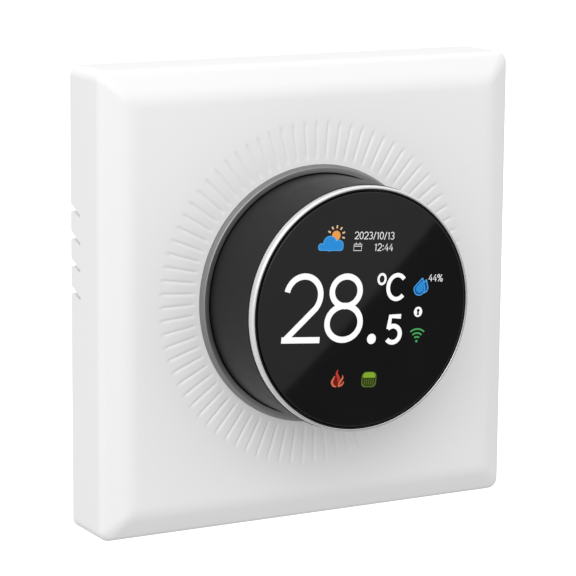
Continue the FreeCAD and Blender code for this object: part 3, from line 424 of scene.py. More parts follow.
PANEL_WHITE = Finish("panel_white", (0.83, 0.83, 0.835), 0.36, mottle=0.006, mottle_mm=40, gloss_spread=0.03,
                     grain_mm=0.5, grain_deep_mm=0.0008, coat=0.15, coat_roughness=0.25)
TRIM_SATIN = TurnedMetal("trim_satin_ring", (0.3, 0.3, 0.305), 0.42, 1.0, grain_deep_mm=0.0006,
                         ring_mm=0.2, ring_deep_mm=0.0006)
KNOB_GLOSS = Finish("knob_satin_black", (0.006, 0.006, 0.0064), 0.38, mottle=0.08, gloss_spread=0.03,
                    grain_deep_mm=0.0006, specular=0.2)
BEZEL_BRIGHT = TurnedMetal("bezel_bright", (0.88, 0.88, 0.88), 0.24, 1.0, mottle=0.01, gloss_spread=0.02,
                           grain_deep_mm=0.0002, ring_mm=0.3, ring_deep_mm=0.0001)
LENS_BLACK = Finish("lens_black_glass", (0.0035, 0.0035, 0.004), 0.06, mottle=0.15, mottle_mm=9,
                    gloss_spread=0.012, grain_mm=4, grain_deep_mm=0.0001, specular=0.36)
DIGIT_WHITE = Glow("digit_white", (0.96, 0.96, 0.96))
TEXT_WHITE = Glow("text_white", (0.8, 0.8, 0.8))
SKY_BLUE = Glow("sky_blue", (0.02, 0.25, 0.66))
RIM_BLUE = Glow("rim_blue", (0.07, 0.34, 0.72))
DEEP_BLUE = Glow("deep_blue", (0.003, 0.08, 0.3))
SUN_ORANGE = Glow("sun_orange", (0.8, 0.33, 0.07))
RAY_CREAM = Glow("ray_cream", (0.74, 0.52, 0.3))
FAN_GREEN = Glow("fan_green", (0.06, 0.36, 0.1))
FLAME_DARK = Glow("flame_dark", (0.16, 0.006, 0.004))
FLAME_RED = Glow("flame_red", (0.5, 0.034, 0.022))
FLAME_CORAL = Glow("flame_coral", (0.6, 0.14, 0.07))
LEAF_LIME = Glow("leaf_lime", (0.21, 0.38, 0.02))
LEAF_EDGE = Glow("leaf_edge", (0.085, 0.15, 0.02))
LEAF_OLIVE = Glow("leaf_olive", (0.022, 0.04, 0.004))
LEAF_BAR = Glow("leaf_bar", (0.085, 0.13, 0.012))
HOUSING_WHITE = Finish("housing_white_matt", (0.74, 0.74, 0.73), 0.55, mottle=0.02, grain_mm=0.25,
                       grain_deep_mm=0.004)
TERMINAL_GREEN = Finish("terminal_green_moulded", (0.05, 0.27, 0.1), 0.45, grain_mm=0.3, grain_deep_mm=0.003)

CAD_FINISHES: dict[str, Finish] = {
    "cover_white": PANEL_WHITE,
    "trim_satin": TRIM_SATIN,
    "knob_black": KNOB_GLOSS,
    "bezel_chrome": BEZEL_BRIGHT,
    "lens_black": LENS_BLACK,
    "adhesive_black": Finish("adhesive_foam", (0.015, 0.015, 0.015), 0.9, grain_mm=0.08, grain_deep_mm=0.02),
    "display_dark": Finish("display_layer", (0.01, 0.01, 0.012), 0.12, grain_deep_mm=0.0003),
    "tray_white": Finish("tray_reflective", (0.8, 0.8, 0.8), 0.4),
    "board_green": Board("board_green_mask", (0.012, 0.12, 0.04), 0.35, coat=0.4),
    "connector_white": Finish("connector_nylon", (0.72, 0.7, 0.62), 0.5),
    "carrier_black": Finish("carrier_spark_black", (0.022, 0.022, 0.024), 0.5, grain_mm=0.15,
                            grain_deep_mm=0.006),
    "spring_steel": BrushedMetal("spring_wire", (0.55, 0.55, 0.57), 0.25, 1.0),
    "gear_acetal": Finish("gear_acetal_natural", (0.72, 0.71, 0.67), 0.4, coat=0.1),
    "part_black": Finish("part_moulded_black", (0.02, 0.02, 0.021), 0.55, grain_mm=0.1, grain_deep_mm=0.004),
    "plunger_red": Finish("plunger_red_moulded", (0.42, 0.03, 0.02), 0.4),
    "frame_grey": Finish("frame_grey_moulded", (0.35, 0.36, 0.37), 0.5, grain_mm=0.2, grain_deep_mm=0.004),
    "radio_blue": Board("radio_board_blue", (0.01, 0.03, 0.16), 0.35, coat=0.4, lane_mm=0.6),
    "shield_tin": BrushedMetal("shield_tinned", (0.66, 0.66, 0.64), 0.3, 1.0),
    "ribbon_amber": Finish("ribbon_polyimide", (0.42, 0.16, 0.02), 0.25, coat=0.5),
    "housing_white": HOUSING_WHITE,
    "relay_black": Finish("relay_case", (0.02, 0.03, 0.07), 0.35),
    "winding_yellow": Finish("winding_tape", (0.6, 0.42, 0.04), 0.3, coat=0.4, grain_mm=0.6,
                             grain_deep_mm=0.02),
    "capacitor_sleeve": Finish("capacitor_sleeve_wrap", (0.02, 0.025, 0.05), 0.25, coat=0.3),
    "film_grey": Finish("film_box", (0.62, 0.5, 0.1), 0.5),
    "varistor_blue": Finish("surge_disc_dip", (0.02, 0.1, 0.34), 0.3, coat=0.5, grain_mm=1,
                            grain_deep_mm=0.02),
    "fuse_glass": BrushedMetal("fuse_plated", (0.6, 0.6, 0.58), 0.25, 1.0),
    "terminal_green": TERMINAL_GREEN,
    "clamp_tin": BrushedMetal("clamp_nickel", (0.62, 0.6, 0.54), 0.3, 1.0),
    "screw_steel": BrushedMetal("screw_zinc", (0.6, 0.6, 0.61), 0.28, 1.0, stretch=(14, 14, 1)),
}


class Paint:
    """Builds each finish once and hands it out."""

    made: dict[str, bpy.types.Material] = {}

    @classmethod
    def of(cls, finish: Finish) -> bpy.types.Material:
        """The material of a finish.

        Args:
            finish: the finish.

        Returns:
            Its material, which is built the first time.
        """
        if finish.name not in cls.made:
            cls.made[finish.name] = finish.build()
        return cls.made[finish.name]


# ---------------------------------------------------------------- mesh tools


def sampled_arc(centre: Pair, radius: Pair, start: float, end: float, steps: int) -> list[Pair]:
    """Points of an ellipse's arc.

    Args:
        centre: the middle.
        radius: the two half-widths.
        start: first angle in degrees, counted from +x towards +y.
        end: last angle in degrees.
        steps: how many pieces the arc has.

    Returns:
        steps + 1 points.
    """
    (x, y), (wide, high) = centre, radius
    angles = [math.radians(start + (end - start) * step / steps) for step in range(steps + 1)]
    return [(x + wide * math.cos(angle), y + high * math.sin(angle)) for angle in angles]


def ring(centre: Pair, radius: Pair, steps: int) -> list[Pair]:
    """Points all round an ellipse, each once.

    Args:
        centre: the middle.
        radius: the two half-widths.
        steps: how many points there are.

    Returns:
        The points.
    """
    return sampled_arc(centre, radius, 0, 360, steps)[:-1]


def rounded(corners: Sequence[tuple[float, float, float]], steps: int = 6, closed: bool = True) -> list[Pair]:
    """An outline whose corners are rounded.

    Args:
        corners: x, y and rounding radius of each corner.
        steps: how many pieces each rounding has.
        closed: whether the last corner joins the first.

    Returns:
        The outline's points.
    """
    points: list[Pair] = []
    last = len(corners) - 1
    for index, (x, y, radius) in enumerate(corners):
        if radius == 0 or (not closed and index in (0, last)):
            points.append((x, y))
            continue
        here = Vector((x, y))
        before = (Vector(corners[index - 1][:2]) - here).normalized()
        after = (Vector(corners[(index + 1) % len(corners)][:2]) - here).normalized()
        half = before.angle(after) / 2
        centre = here + (before + after).normalized() * radius / math.sin(half)
        reach = radius / math.tan(half)
        first = here + before * reach - centre
        second = here + after * reach - centre
        for step in range(steps + 1):
            share = step / steps
            swept = first.angle(second)
            weight = math.sin(swept)
            spot = (first * math.sin((1 - share) * swept) + second * math.sin(share * swept)) / weight
            points.append((centre.x + spot.x, centre.y + spot.y))
    return points


def new_piece(name: str, vertices: Sequence[Vector], faces: Sequence[Sequence[int]]) -> bpy.types.Object:
    """A mesh object at the origin with its faces turned outwards.

    Args:
        name: the piece's name.
        vertices: its points, in metres.
        faces: the point numbers of each face.

    Returns:
        The piece.
    """
    mesh = bpy.data.meshes.new(name)
    mesh.from_pydata([tuple(vertex) for vertex in vertices], [], [tuple(face) for face in faces])
    piece = bpy.data.objects.new(name, mesh)
    bpy.context.scene.collection.objects.link(piece)
    return tidy_mesh(piece)


def tidy_mesh(piece: bpy.types.Object, sharp_degrees: float = 32) -> bpy.types.Object:
    """Merges doubled points, turns faces outwards and shades smoothly between sharp edges.

    Args:
        piece: the piece, whose mesh is changed.
        sharp_degrees: edges that bend more than this stay sharp.

    Returns:
        The same piece.
    """
    work = bmesh.new()
    work.from_mesh(piece.data)
    bmesh.ops.remove_doubles(work, verts=work.verts, dist=WELD)
    bmesh.ops.recalc_face_normals(work, faces=work.faces)
    work.to_mesh(piece.data)
    work.free()
    piece.data.shade_smooth()
    piece.data.set_sharp_from_angle(angle=math.radians(sharp_degrees))
    return piece


def band_faces(first: int, size: int, rows: int, joined: bool = True) -> list[tuple[int, int, int, int]]:
    """Four-sided faces between successive loops of points.

    Args:
        first: the number of the first loop's first point.
        size: how many points each loop has.
        rows: how many loops there are.
        joined: whether the last loop joins the first.

    Returns:
        The faces' point numbers.
    """
    faces = []
    for row in range(rows if joined else rows - 1):
        below, above = first + row * size, first + (row + 1) % rows * size
        for column in range(size):
            beside = (column + 1) % size
            faces.append((below + column, below + beside, above + beside, above + column))
    return faces


def skin(name: str, loops: Sequence[Sequence[Vector]]) -> bpy.types.Object:
    """A closed surface through equal loops, where the last loop joins the first."""
    vertices = [spot for loop in loops for spot in loop]
    return new_piece(name, vertices, band_faces(0, len(loops[0]), len(loops)))


def lathe(name: str, profile: Sequence[Pair], columns: int = 320) -> bpy.types.Object:
    """A closed piece turned about the knob's axis.

    Args:
        name: the piece's name.
        profile: its closed outline, each point a radius and a distance out.
        columns: how many steps a full turn has.

    Returns:
        The piece.
    """
    turns = [TURN * column / columns for column in range(columns)]
    loops = [[place(radius * math.cos(turn), out, radius * math.sin(turn)) for turn in turns]
             for radius, out in profile]
    return skin(name, loops)


@dataclass(frozen=True)
class Band:
    """A ring-shaped outline: two closed loops with the same number of points."""

    outer: list[Pair]
    inner: list[Pair]


Outline = Union[Sequence[Pair], Band]


def plate(name: str, outlines: Sequence[Outline], back: float, front: float) -> bpy.types.Object:
    """Flat closed pieces with given outlines, as seen from the room.

    Args:
        name: the piece's name.
        outlines: one closed outline or band per separate shape, across and up in millimetres.
        back: distance out of the rear face.
        front: distance out of the front face.

    Returns:
        The piece.
    """
    vertices: list[Vector] = []
    faces: list[Sequence[int]] = []
    for outline in outlines:
        first = len(vertices)
        if isinstance(outline, Band):
            size = len(outline.outer)
            loops = ((outline.outer, front), (outline.outer, back),
                     (outline.inner, back), (outline.inner, front))
            vertices += [place(x, out, z) for loop, out in loops for x, z in loop]
            faces += band_faces(first, size, len(loops))
            continue
        size = len(outline)
        vertices += [place(x, front, z) for x, z in outline] + [place(x, back, z) for x, z in outline]
        faces.append(list(range(first, first + size)))
        faces.append(list(range(first + 2 * size - 1, first + size - 1, -1)))
        for index in range(size):
            beside = (index + 1) % size
            faces.append((first + index, first + size + index, first + size + beside, first + beside))
    return new_piece(name, vertices, faces)


def ribbon(path: Sequence[Pair], width: float, closed: bool = False,
           taper: Optional[Callable[[float], float]] = None) -> list[Outline]:
    """A stroke of a given width along a path, as outlines.

    Args:
        path: the stroke's middle line.
        width: its full width.
        closed: whether the path is a ring.
        taper: width factor for a place along the stroke from 0 to 1.

    Returns:
        One outline for an open stroke, or one band for a ring.
    """
    size = len(path)
    left, right = [], []
    for index, (x, y) in enumerate(path):
        before = path[index - 1] if closed or index else path[index]
        after = path[(index + 1) % size] if closed or index < size - 1 else path[index]
        along = Vector((after[0] - before[0], after[1] - before[1])).normalized()
        half = width / 2 * (taper(index / (size - 1)) if taper else 1)
        left.append((x - along.y * half, y + along.x * half))
        right.append((x + along.y * half, y - along.x * half))
    if not closed:
        return [left + right[::-1]]
    return [Band(left, right)]


def dress(piece: bpy.types.Object, body: Body, finish: Finish) -> bpy.types.Object:
    """Gives a new piece its finish and the body it moves with.

    Args:
        piece: the piece.
        body: what it moves with.
        finish: its finish.

    Returns:
        The same piece.
    """
    piece.data.materials.clear()
    piece.data.materials.append(Paint.of(finish))
    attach(piece, body.value)
    log.info("%s: %d faces on %s", piece.name, len(piece.data.polygons), body.value)
    return piece


FLAT_DEGREES = 0.5  # faces that meet at less than this are one flat face
CREASE_DEGREES = 35  # outer edges that bend more than this are broken


def soft_copy(node: str, width: float, body: Body, finish: Finish) -> bpy.types.Object:
    """A moulded-looking stand-in for a CAD node: the same shape with its sharp edges broken.

    Args:
        node: the CAD node's name.
        width: the width of the broken edges, in millimetres.
        body: what it moves with.
        finish: its finish.

    Returns:
        The new piece, which replaces the node.
    """
    piece = bpy.data.objects.new(f"{node}_moulded", frame["nodes"][node].data.copy())
    bpy.context.scene.collection.objects.link(piece)
    work = bmesh.new()
    work.from_mesh(piece.data)
    bmesh.ops.remove_doubles(work, verts=work.verts, dist=10 * WELD)
    bmesh.ops.dissolve_limit(work, angle_limit=math.radians(FLAT_DEGREES), verts=work.verts, edges=work.edges)
    crease = math.radians(CREASE_DEGREES)
    sharp = [edge for edge in work.edges
             if edge.is_manifold and edge.calc_face_angle(0) > crease and edge.is_convex]
    bmesh.ops.bevel(work, geom=sharp, offset=width * MM, segments=3, profile=0.5, affect="EDGES",
                    clamp_overlap=True)
    bmesh.ops.triangulate(work, faces=[face for face in work.faces if len(face.verts) > 4])
    work.to_mesh(piece.data)
    work.free()
    tidy_mesh(piece, 20)
    dress(piece, body, finish)
    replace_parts(piece, node)
    return piece


# ---------------------------------------------------------------- front cover


@dataclass
class FrontCover:
    """Bevelled square cover with radial grooves round the knob and saw-tooth vents in its sides."""

    corner: float = 2.0
    bevel: float = 5.0
    bevel_corner: float = 1.0
    bevel_rise: float = 2.4
    side_soft: float = 1.7
    front_soft: float = 7.0
    flank_lead: float = 3.0
    wall: float = 2.0
    hollow_out: float = 10.2
    hollow_front: float = 12.3
    hollow_taper: float = 4.0
    inner_corner: float = 1.2
    rim: float = 0.15
    opening: float = 23.5
    groove_count: int = 80
    groove_inner: float = 25.0
    groove_outer: float = 32.3
    groove_half: float = 0.42
    groove_deep: float = 0.21
    groove_ends: tuple[Pair, ...] = ((0.0, 0.0), (0.25, 0.3), (0.7, 0.8), (1.2, 1.0))
    groove_section: tuple[Pair, ...] = ((-1.25, 0.0), (-0.8, 0.12), (-0.18, 0.96), (0.18, 0.96), (0.8, 0.12),
                                        (1.25, 0.0))
    vent_first: float = 0.6
    vent_pitch: float = 5.05
    vent_wide: float = 2.1
    vent_deep: float = 4.1
    vent_lip: float = 0.85
    vent_lip_out: float = 0.4
    vent_tip: float = 0.45
    vent_flare: float = 0.5
    vent_count: int = 4
    columns_per_groove: int = 8
    boss: float = 3.2
    pilot: float = 1.05
    boss_pitch: float = 28.0
    boss_below: float = 2.8
    hook_pitch: float = 20.0
    hook_half: float = 5.0
    hook_long: float = 1.15
    hook_soft: float = 0.3
    hook_back: float = 0.2
    hook_front: float = 1.1
    half: float = field(default_factory=lambda: node_radius(FRONT_NODE))
    front: float = field(default_factory=lambda: node_front(FRONT_NODE))

    def column_turn(self, column: int, radius: float) -> float:
        """Angle of a column of points; columns crowd at each groove, which keeps its width at any radius.

        Args:
            column: the column's number.
            radius: where along the groove, in millimetres.

        Returns:
            The angle in radians.
        """
        groove, place_in = divmod(column, self.columns_per_groove)
        pitch = TURN / self.groove_count
        half = self.groove_half / radius
        if place_in < len(self.groove_section):
            return groove * pitch + self.groove_section[place_in][0] * half
        edge = self.groove_section[-1][0] * half
        on_land = self.columns_per_groove - len(self.groove_section)
        land = (place_in - len(self.groove_section) + 1) / (on_land + 1)
        return groove * pitch + edge + (pitch - 2 * edge) * land

    def groove_drop(self, column: int) -> float:
        """Depth share of a column: 1 at a groove's full depth and 0 on the land."""
        place_in = column % self.columns_per_groove
        return self.groove_section[place_in][1] if place_in < len(self.groove_section) else 0.0

    def columns(self) -> range:
        """All columns round the cover."""
        return range(self.groove_count * self.columns_per_groove)

    def circle(self, radius: float, out: float, depth: float = 0.0) -> list[Vector]:
        """A loop on a circle, sunk where there is a groove.

        Args:
            radius: the circle's radius.
            out: how far out the land is.
            depth: the grooves' depth at this radius.

        Returns:
            The loop's points.
        """
        loop = []
        for column in self.columns():
            turn = self.column_turn(column, max(radius, self.groove_inner))
            sunk = depth * self.groove_drop(column)
            loop.append(place(radius * math.cos(turn), out - sunk, radius * math.sin(turn)))
        return loop

    def square(self, half: float, corner: float, out: float) -> list[Vector]:
        """A loop on a square with round corners; a fifth of each quarter turn is spent on the corner.

        Args:
            half: half of the square's width.
            corner: the corners' radius.
            out: how far out the loop is.

        Returns:
            The loop's points.
        """
        corner_share = 9.0
        side_share = 45.0 - corner_share
        inner = half - corner
        loop = []
        for column in self.columns():
            degrees = math.degrees(self.column_turn(column, self.groove_outer)) + 45
            side = math.floor(degrees / 90)
            lean = degrees - 90 * side - 45
            normal = Vector((math.cos(side * TURN / 4), math.sin(side * TURN / 4)))
            along = Vector((-normal.y, normal.x)) * math.copysign(1, lean)
            if abs(lean) <= side_share:
                spot = normal * half + along * inner * abs(lean) / side_share
            else:
                swept = math.radians((abs(lean) - side_share) / corner_share * 45)
                turned = normal * math.cos(swept) + along * math.sin(swept)
                spot = (normal + along) * inner + turned * corner
            loop.append(place(spot.x, out, spot.y))
        return loop

    def corner_at(self, half: float) -> float:
        """Corner radius that goes with a size, so that the bevel's corners close in evenly."""
        share = (half - (self.half - self.bevel)) / self.bevel
        return self.bevel_corner + (self.corner - self.bevel_corner) * min(max(share, 0.0), 1.0)

    def flank(self) -> list[Pair]:
        """Half-widths and distances out from the flat front over the bevel and down the side."""
        edge = self.half - self.bevel
        side_out = self.front - self.bevel_rise
        return rounded([(edge - self.flank_lead, self.front, 0), (edge, self.front, self.front_soft),
                        (self.half, side_out, self.side_soft), (self.half, self.rim, 0)], 8, closed=False)

    def shell(self) -> bpy.types.Object:
        """The closed shell before the vents are cut."""
        inner_half = self.half - self.wall
        loops = [self.circle(self.opening, self.front - self.rim),
                 self.circle(self.opening + self.rim, self.front),
                 self.circle(self.groove_inner - 2 * self.rim, self.front)]
        for reach, share in self.groove_ends:
            loops.append(self.circle(self.groove_inner + reach, self.front, self.groove_deep * share))
        loops.append(self.circle((self.groove_inner + self.groove_outer) / 2, self.front, self.groove_deep))
        for reach, share in reversed(self.groove_ends):
            loops.append(self.circle(self.groove_outer - reach, self.front, self.groove_deep * share))
        loops.append(self.circle(self.groove_outer + 0.7, self.front))
        for half, out in self.flank():
            loops.append(self.square(half, self.corner_at(half), out))
        loops.append(self.square(self.half - self.rim, self.corner, 0))
        inside = ((inner_half + SMALL_EDGE, 0), (inner_half, SMALL_EDGE), (inner_half, self.hollow_out),
                  (inner_half - self.hollow_taper, self.hollow_front))
        for half, out in inside:
            loops.append(self.square(half, self.inner_corner, out))
        loops.append(self.circle(self.opening, self.hollow_front))
        return skin("front_cover_panel", loops)

    def vent_outline(self, low: float) -> list[Pair]:
        """One saw-tooth notch: a floor that rises to a lip at the wall, and a slanted ceiling.

        Args:
            low: height of the notch's lowest point.

        Returns:
            The outline, each point a distance out and a height.
        """
        deep, high, flare = self.vent_deep, low + self.vent_wide, self.vent_flare
        return rounded([(-1, low - 0.9, 0), (0, low + 0.3, 0.4),
                        (self.vent_lip_out, low + self.vent_lip, 0.35), (deep - 0.1, low, 0.1),
                        (deep, low + 0.1, 0.08), (deep, low + self.vent_tip, 0.15),
                        (flare / 2, high, 1.2), (0, high + flare, flare), (-1, high + 1.6, 0)], 5)

    def cut_vents(self, panel: bpy.types.Object) -> None:
        """Cuts the rows of notches through both side walls.

        Args:
            panel: the cover's shell, whose mesh is changed.
        """
        vertices: list[Vector] = []
        faces: list[Sequence[int]] = []
        for side in (-1, 1):
            ends = (side * (self.half + 1), side * (self.half - self.wall - 1))
            for number in range(self.vent_count):
                outline = self.vent_outline(self.vent_first + number * self.vent_pitch)
                first, size = len(vertices), len(outline)
                vertices += [place(end, out, up) for end in ends for out, up in outline]
                faces.append(list(range(first, first + size)))
                faces.append(list(range(first + 2 * size - 1, first + size - 1, -1)))
                faces += band_faces(first, size, 2, joined=False)
        cutter = new_piece("vent_cutter", vertices, faces)
        cut = panel.modifiers.new("vents", "BOOLEAN")
        cut.operation = "DIFFERENCE"
        cut.solver = "EXACT"
        cut.object = cutter
        settle(panel)
        bpy.data.objects.remove(cutter)

    def bosses(self) -> bpy.types.Object:
        """Four hollow posts that stand on the chassis and take its screws."""
        seat = node_front("chassis_screws") - self.boss_below
        sides = (-self.boss_pitch, self.boss_pitch)
        places = [(x, z) for x in sides for z in sides]
        posts = [Band(ring(spot, (self.boss, self.boss), 40), ring(spot, (self.pilot, self.pilot), 40))
                 for spot in places]
        return plate("cover_bosses", posts, seat, self.hollow_front)

    def hooks(self) -> bpy.types.Object:
        """Four snap hooks inside the top and bottom edges."""
        wall = self.half - self.wall + FINE_EDGE
        tongues = []
        for x in (-self.hook_pitch, self.hook_pitch):
            left, right = x - self.hook_half, x + self.hook_half
            for side in (-1, 1):
                root, tip = side * wall, side * (wall - self.hook_long)
                tongues.append(rounded([(left, root, 0), (left, tip, self.hook_soft),
                                        (right, tip, self.hook_soft), (right, root, 0)]))
        return plate("cover_hooks", tongues, self.hook_back, self.hook_front)

    def build(self) -> None:
        """Builds and dresses the cover."""
        panel = self.shell()
        self.cut_vents(panel)
        tidy_mesh(panel, 28)
        dress(panel, Body.FIXED, PANEL_WHITE)
        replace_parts(panel, FRONT_NODE)
        dress(self.bosses(), Body.FIXED, PANEL_WHITE)
        dress(self.hooks(), Body.FIXED, PANEL_WHITE)


def settle(piece: bpy.types.Object) -> None:
    """Applies a piece's modifiers to its mesh.

    Args:
        piece: the piece, which ends with no modifiers.
    """
    bpy.context.view_layer.update()
    graph = bpy.context.evaluated_depsgraph_get()
    mesh = bpy.data.meshes.new_from_object(piece.evaluated_get(graph))
    piece.modifiers.clear()
    old = piece.data
    piece.data = mesh
    bpy.data.meshes.remove(old)


# ---------------------------------------------------------------- knob


@dataclass
class Knob:
    """Trim ring, grip sleeve and bright bezel."""

    trim_bore: float = 22.72
    trim_skirt: float = 23.45
    trim_rise: float = 1.28
    sleeve_skin: float = 22.6
    sleeve_bore: float = 20.9
    flange_thick: float = 1.0
    seat_radius: float = 22.05
    seat_out: float = 29.4
    rib_radius: float = 19.6
    rib_back: float = 12.45
    rib_front: float = 13.4
    bezel_bore: float = 21.95
    bezel_spigot: float = 22.0
    bezel_round: float = 0.22
    lining_thick: float = 0.27
    lining_below: float = 0.04
    cover_front: float = field(default_factory=lambda: node_front(FRONT_NODE))

    def trim(self) -> bpy.types.Object:
        """Rounded ring that lines the cover's opening."""
        bore, skirt, rim = self.trim_bore, self.trim_skirt, node_radius("trim_ring")
        back, face = node_back("trim_ring"), self.cover_front + HAIR / 2
        crest = self.cover_front + self.trim_rise
        profile = rounded([(bore, back, SMALL_EDGE), (skirt, back, SMALL_EDGE), (skirt, face, 0),
                           (rim, face, 0.03), (rim - FINE_EDGE, self.cover_front + 0.4, 0.2),
                           (rim - 0.42, crest, 0.28), (bore + SMALL_EDGE, crest, 0.08),
                           (bore, crest - 0.12, FINE_EDGE)], 6)
        return lathe("trim_ring_turned", profile)

    def sleeve(self) -> bpy.types.Object:
        """Grip wall with a flange behind the cover, a rib behind the carrier and a seat for the bezel."""
        back, front = node_back("knob_sleeve"), node_front("knob_sleeve")
        bore, outer = self.sleeve_bore, self.sleeve_skin
        flange, shoulder, soft = node_radius("knob_sleeve"), back + self.flange_thick, 2 * SMALL_EDGE
        profile = rounded([(bore, back, SMALL_EDGE), (flange, back, soft), (flange, shoulder, soft),
                           (outer, shoulder, soft), (outer, front, 0.12),
                           (self.seat_radius, front, FINE_EDGE),
                           (self.seat_radius, self.seat_out, 0), (bore, self.seat_out, FINE_EDGE),
                           (bore, self.rib_front, 0), (self.rib_radius, self.rib_front, SMALL_EDGE),
                           (self.rib_radius, self.rib_back, SMALL_EDGE), (bore, self.rib_back, 0)], 5)
        return lathe("knob_sleeve_gloss", profile)

    def bezel(self) -> bpy.types.Object:
        """Bright ring with a crowned front."""
        back, front = node_back("bezel_ring"), node_front("bezel_ring")
        seat, outer = node_front("knob_sleeve") + HAIR, node_radius("bezel_ring")
        profile = rounded([(self.bezel_bore, back, 0), (self.bezel_spigot, back, FINE_EDGE),
                           (self.bezel_spigot, seat, 0), (outer, seat, 0.06),
                           (outer, front - self.bezel_round, 0.14), (outer - self.bezel_round, front, 0.14),
                           (self.bezel_bore, front, SMALL_EDGE)], 8)
        return lathe("bezel_ring_bright", profile, 360)

    def lining(self) -> bpy.types.Object:
        """Thin black line between the bezel and the glass."""
        back, front = node_back("bezel_ring"), node_front("bezel_ring") - self.lining_below
        inner, outer = self.bezel_bore - self.lining_thick, self.bezel_bore + 0.03
        profile = rounded([(inner, back, HAIR), (outer, back, HAIR), (outer, front, HAIR),
                           (inner, front, 0.03)], 3)
        return lathe("bezel_lining_black", profile)

    def build(self) -> None:
        """Builds and dresses the rings."""
        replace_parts(dress(self.trim(), Body.FIXED, TRIM_SATIN), "trim_ring")
        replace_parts(dress(self.sleeve(), Body.KNOB, KNOB_GLOSS), "knob_sleeve")
        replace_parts(dress(self.bezel(), Body.KNOB, BEZEL_BRIGHT), "bezel_ring")
        dress(self.lining(), Body.KNOB, KNOB_GLOSS)


# ---------------------------------------------------------------- display


@dataclass
class Glyph:
    """One sign drawn with strokes in a box of height 1, its baseline at 0."""

    wide: float
    strokes: list[list[Pair]] = field(default_factory=list)
    rings: list[list[Pair]] = field(default_factory=list)
    dots: list[tuple[float, float, float]] = field(default_factory=list)


def numeral_zero() -> Glyph:
    """The numeral 0."""
    return Glyph(0.62, rings=[ring((0.31, 0.5), (0.25, 0.45), 40)])


def numeral_one() -> Glyph:
    """The numeral 1."""
    return Glyph(0.4, [[(0.05, 0.78), (0.26, 0.95), (0.26, 0.0)]])


def numeral_two() -> Glyph:
    """The numeral 2."""
    head = sampled_arc((0.33, 0.68), (0.27, 0.27), 170, 0, 20)
    tail = sampled_arc((0.2, 0.68), (0.4, 0.34), -4, -32, 6)
    return Glyph(0.66, [head + tail + [(0.08, 0.05), (0.075, 0.05)], [(0.03, 0.05), (0.64, 0.05)]])


def numeral_three() -> Glyph:
    """The numeral 3."""
    top = sampled_arc((0.28, 0.72), (0.23, 0.23), 150, -90, 20)
    low = sampled_arc((0.28, 0.27), (0.26, 0.22), 90, -150, 20)
    return Glyph(0.6, [top, low])


def numeral_four() -> Glyph:
    """The numeral 4."""
    return Glyph(0.62, [[(0.42, 0.95), (0.06, 0.28), (0.6, 0.28)], [(0.46, 0.6), (0.46, 0.0)]])


def numeral_five() -> Glyph:
    """The numeral 5."""
    bowl = sampled_arc((0.3, 0.33), (0.27, 0.27), 128, -140, 24)
    return Glyph(0.62, [[(0.56, 0.92), (0.16, 0.92), (0.12, 0.5)], [(0.1, 0.52)] + bowl])


def numeral_eight() -> Glyph:
    """The numeral 8."""
    return Glyph(0.66, rings=[ring((0.335, 0.74), (0.225, 0.21), 48),
                              ring((0.335, 0.292), (0.268, 0.242), 48)])


def slant_bar() -> Glyph:
    """The bar between parts of a date."""
    return Glyph(0.42, [[(0.06, -0.05), (0.36, 1.0)]])


def time_dots() -> Glyph:
    """The two dots between hours and minutes."""
    return Glyph(0.26, dots=[(0.13, 0.2, 0.09), (0.13, 0.68, 0.09)])


def share_sign() -> Glyph:
    """The sign for a share of a hundred."""
    return Glyph(0.9, [[(0.2, 0.0), (0.7, 0.95)]],
                 [ring((0.2, 0.75), (0.15, 0.19), 20),
                  ring((0.7, 0.2), (0.15, 0.19), 20)])


def empty_space() -> Glyph:
    """A gap between words."""
    return Glyph(0.45)


NUMERALS: dict[str, Callable[[], Glyph]] = {
    "0": numeral_zero, "1": numeral_one, "2": numeral_two, "3": numeral_three, "4": numeral_four,
    "5": numeral_five, "8": numeral_eight, "/": slant_bar, ":": time_dots, "%": share_sign, " ": empty_space,
}


